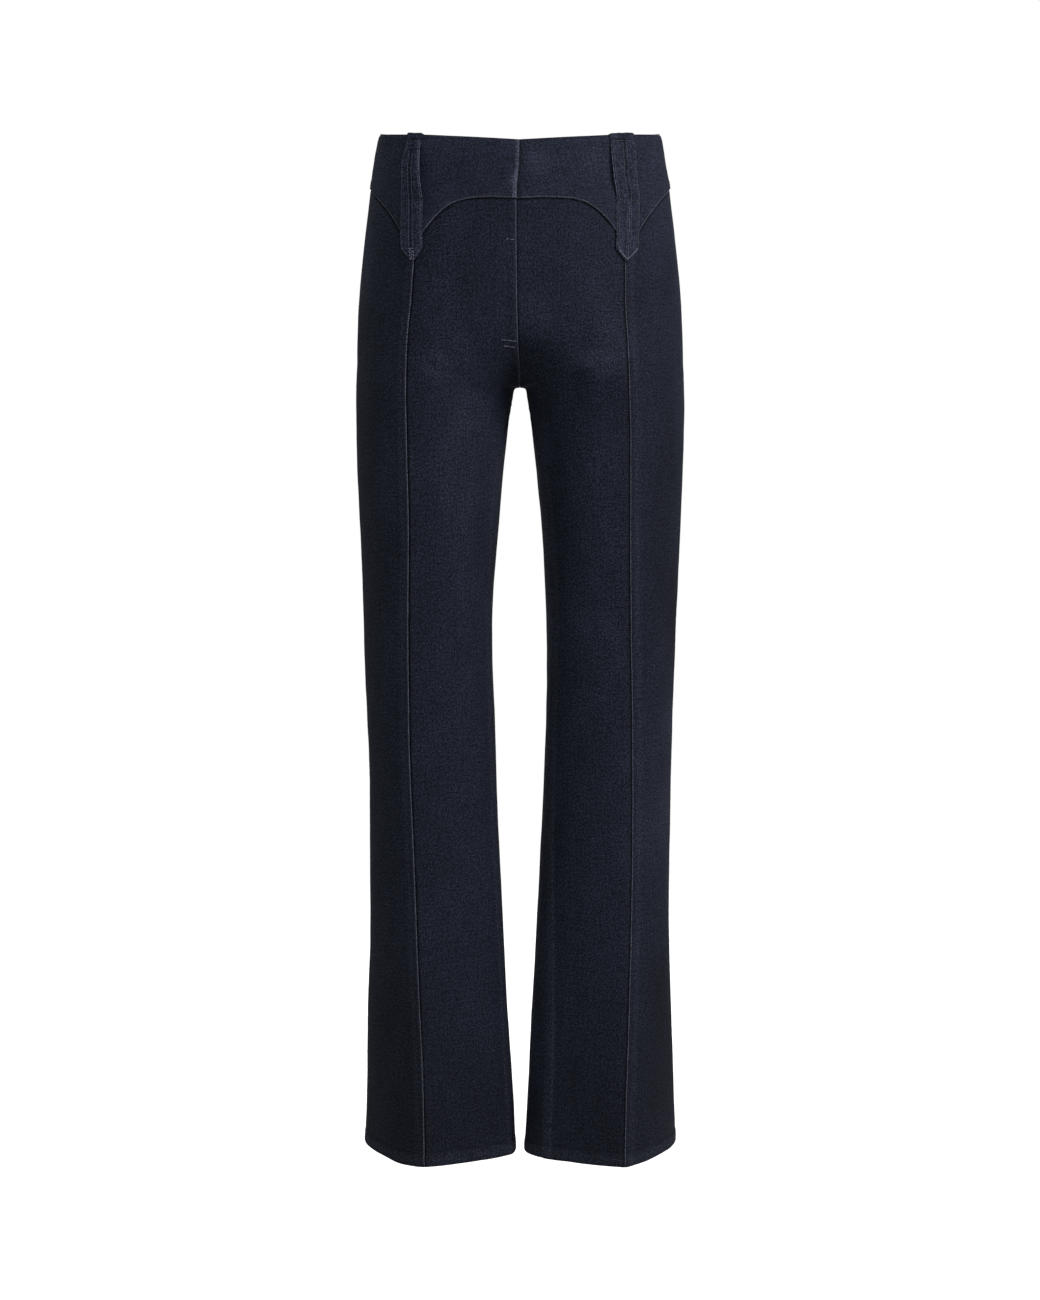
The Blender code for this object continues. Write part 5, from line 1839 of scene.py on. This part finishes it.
CAMERA_PLACE = (0.0, -2.535, -0.3833)
CAMERA_DIP = 3.170
CAMERA_LENS = 65.0
FLOOR_RADIUS = 14.0
KEY_PLACE, KEY_SIZE = (1.7, -1.35, 0.95), 1.2
FILL_PLACE, FILL_SIZE = (-0.5, -2.6, 1.5), 1.8
BACK_PLACE, BACK_SIZE = (0.05, 2.5, 0.9), 1.8
AIM = (0.0, 0.0, -0.35)


def soft_light(name, place, size, power, colour):
    light = bpy.data.lights.new(name, "AREA")
    light.shape, light.size, light.energy, light.color = "DISK", size, power, colour
    lamp = bpy.data.objects.new(name, light)
    lamp.location = place
    lamp.rotation_euler = (Vector(AIM) - Vector(place)).to_track_quat("-Z", "Y").to_euler()
    bpy.context.scene.collection.objects.link(lamp)


class JEANS_OT_stage(bpy.types.Operator):
    """Builds the pale floor, the even white surround, the soft lights and the camera"""

    bl_idname = "jeans.stage"
    bl_label = "Stage"

    def execute(self, context):
        scene, stage = context.scene, context.scene.jeans_stage
        mesh = bpy.data.meshes.new("floor")
        turn = np.linspace(0, 2 * math.pi, 65)[:-1]
        rim = [(FLOOR_RADIUS * math.cos(t), FLOOR_RADIUS * math.sin(t), stage.floor_height)
               for t in turn]
        mesh.from_pydata(rim, [], [list(range(len(rim)))])
        material, tree, shader = new_material("pale_floor")
        shader.inputs["Base Color"].default_value = (0.55, 0.55, 0.55, 1.0)
        shader.inputs["Roughness"].default_value = 0.9
        shader.inputs["Specular IOR Level"].default_value = 0.0
        shader.inputs["Emission Color"].default_value = (1.0, 1.0, 1.0, 1.0)
        seen = add_node(tree, "ShaderNodeLightPath", (-600, 0))
        glow = arithmetic(
            tree, "MULTIPLY", (-400, 0), seen.outputs["Is Camera Ray"], 1.0 - 0.55 * stage.surround)
        tree.links.new(glow, shader.inputs["Emission Strength"])
        link("floor", mesh, [material])
        soft_light("key_light", KEY_PLACE, KEY_SIZE, stage.key_power, (1.0, 0.91, 0.96))
        soft_light("front_light", FILL_PLACE, FILL_SIZE, stage.fill_power, (1.0, 1.0, 1.0))
        soft_light("back_light", BACK_PLACE, BACK_SIZE, stage.back_power, (1.0, 1.0, 1.0))
        world = bpy.data.worlds.new("white_surround")
        world.use_nodes = True
        tree = world.node_tree
        background = tree.nodes["Background"]
        background.inputs["Color"].default_value = (1.0, 1.0, 1.0, 1.0)
        seen = add_node(tree, "ShaderNodeLightPath", (-600, 0))
        extra = arithmetic(
            tree, "MULTIPLY", (-400, 0), seen.outputs["Is Camera Ray"], 1.0 - stage.surround)
        strength = arithmetic(tree, "ADD", (-200, 0), extra, stage.surround)
        tree.links.new(strength, background.inputs["Strength"])
        scene.world = world
        scene.view_settings.view_transform = "Standard"
        camera = bpy.data.objects.new("camera", bpy.data.cameras.new("camera"))
        camera.data.lens = CAMERA_LENS
        camera.location = CAMERA_PLACE
        camera.rotation_euler = (math.radians(90 - CAMERA_DIP), 0.0, 0.0)
        scene.collection.objects.link(camera)
        scene.camera = camera
        return {"FINISHED"}


STEPS = (
    JEANS_OT_waistband, JEANS_OT_front_centre_panels, JEANS_OT_front_side_panels,
    JEANS_OT_back_panels, JEANS_OT_front_loops, JEANS_OT_back_loops, JEANS_OT_front_tacks,
    JEANS_OT_stage)
SETTINGS = {
    "jeans_cloth": JeansClothSettings, "jeans_sewing": JeansSewingSettings,
    "jeans_finish": JeansFinishSettings, "jeans_stage": JeansStageSettings}


class JEANS_PT_pieces(bpy.types.Panel):
    """Lists the steps that build the jeans and their settings"""

    bl_label = "Jeans"
    bl_idname = "JEANS_PT_pieces"
    bl_space_type = "VIEW_3D"
    bl_region_type = "UI"
    bl_category = "Jeans"

    def draw(self, context):
        for step in STEPS:
            self.layout.operator(step.bl_idname)
        for name in SETTINGS:
            box = self.layout.box()
            settings = getattr(context.scene, name)
            for label in settings.bl_rna.properties.keys():
                if label not in ("rna_type", "name"):
                    box.prop(settings, label)


def register():
    for name, settings in SETTINGS.items():
        bpy.utils.register_class(settings)
        setattr(bpy.types.Scene, name, PointerProperty(type=settings))
    for step in (*STEPS, JEANS_PT_pieces):
        bpy.utils.register_class(step)


def unregister():
    for step in (JEANS_PT_pieces, *reversed(STEPS)):
        bpy.utils.unregister_class(step)
    for name, settings in reversed(SETTINGS.items()):
        delattr(bpy.types.Scene, name)
        bpy.utils.unregister_class(settings)


def main():
    register()
    for step in STEPS:
        group, name = step.bl_idname.split(".")
        getattr(getattr(bpy.ops, group), name)()


if __name__ == "__main__":
    main()
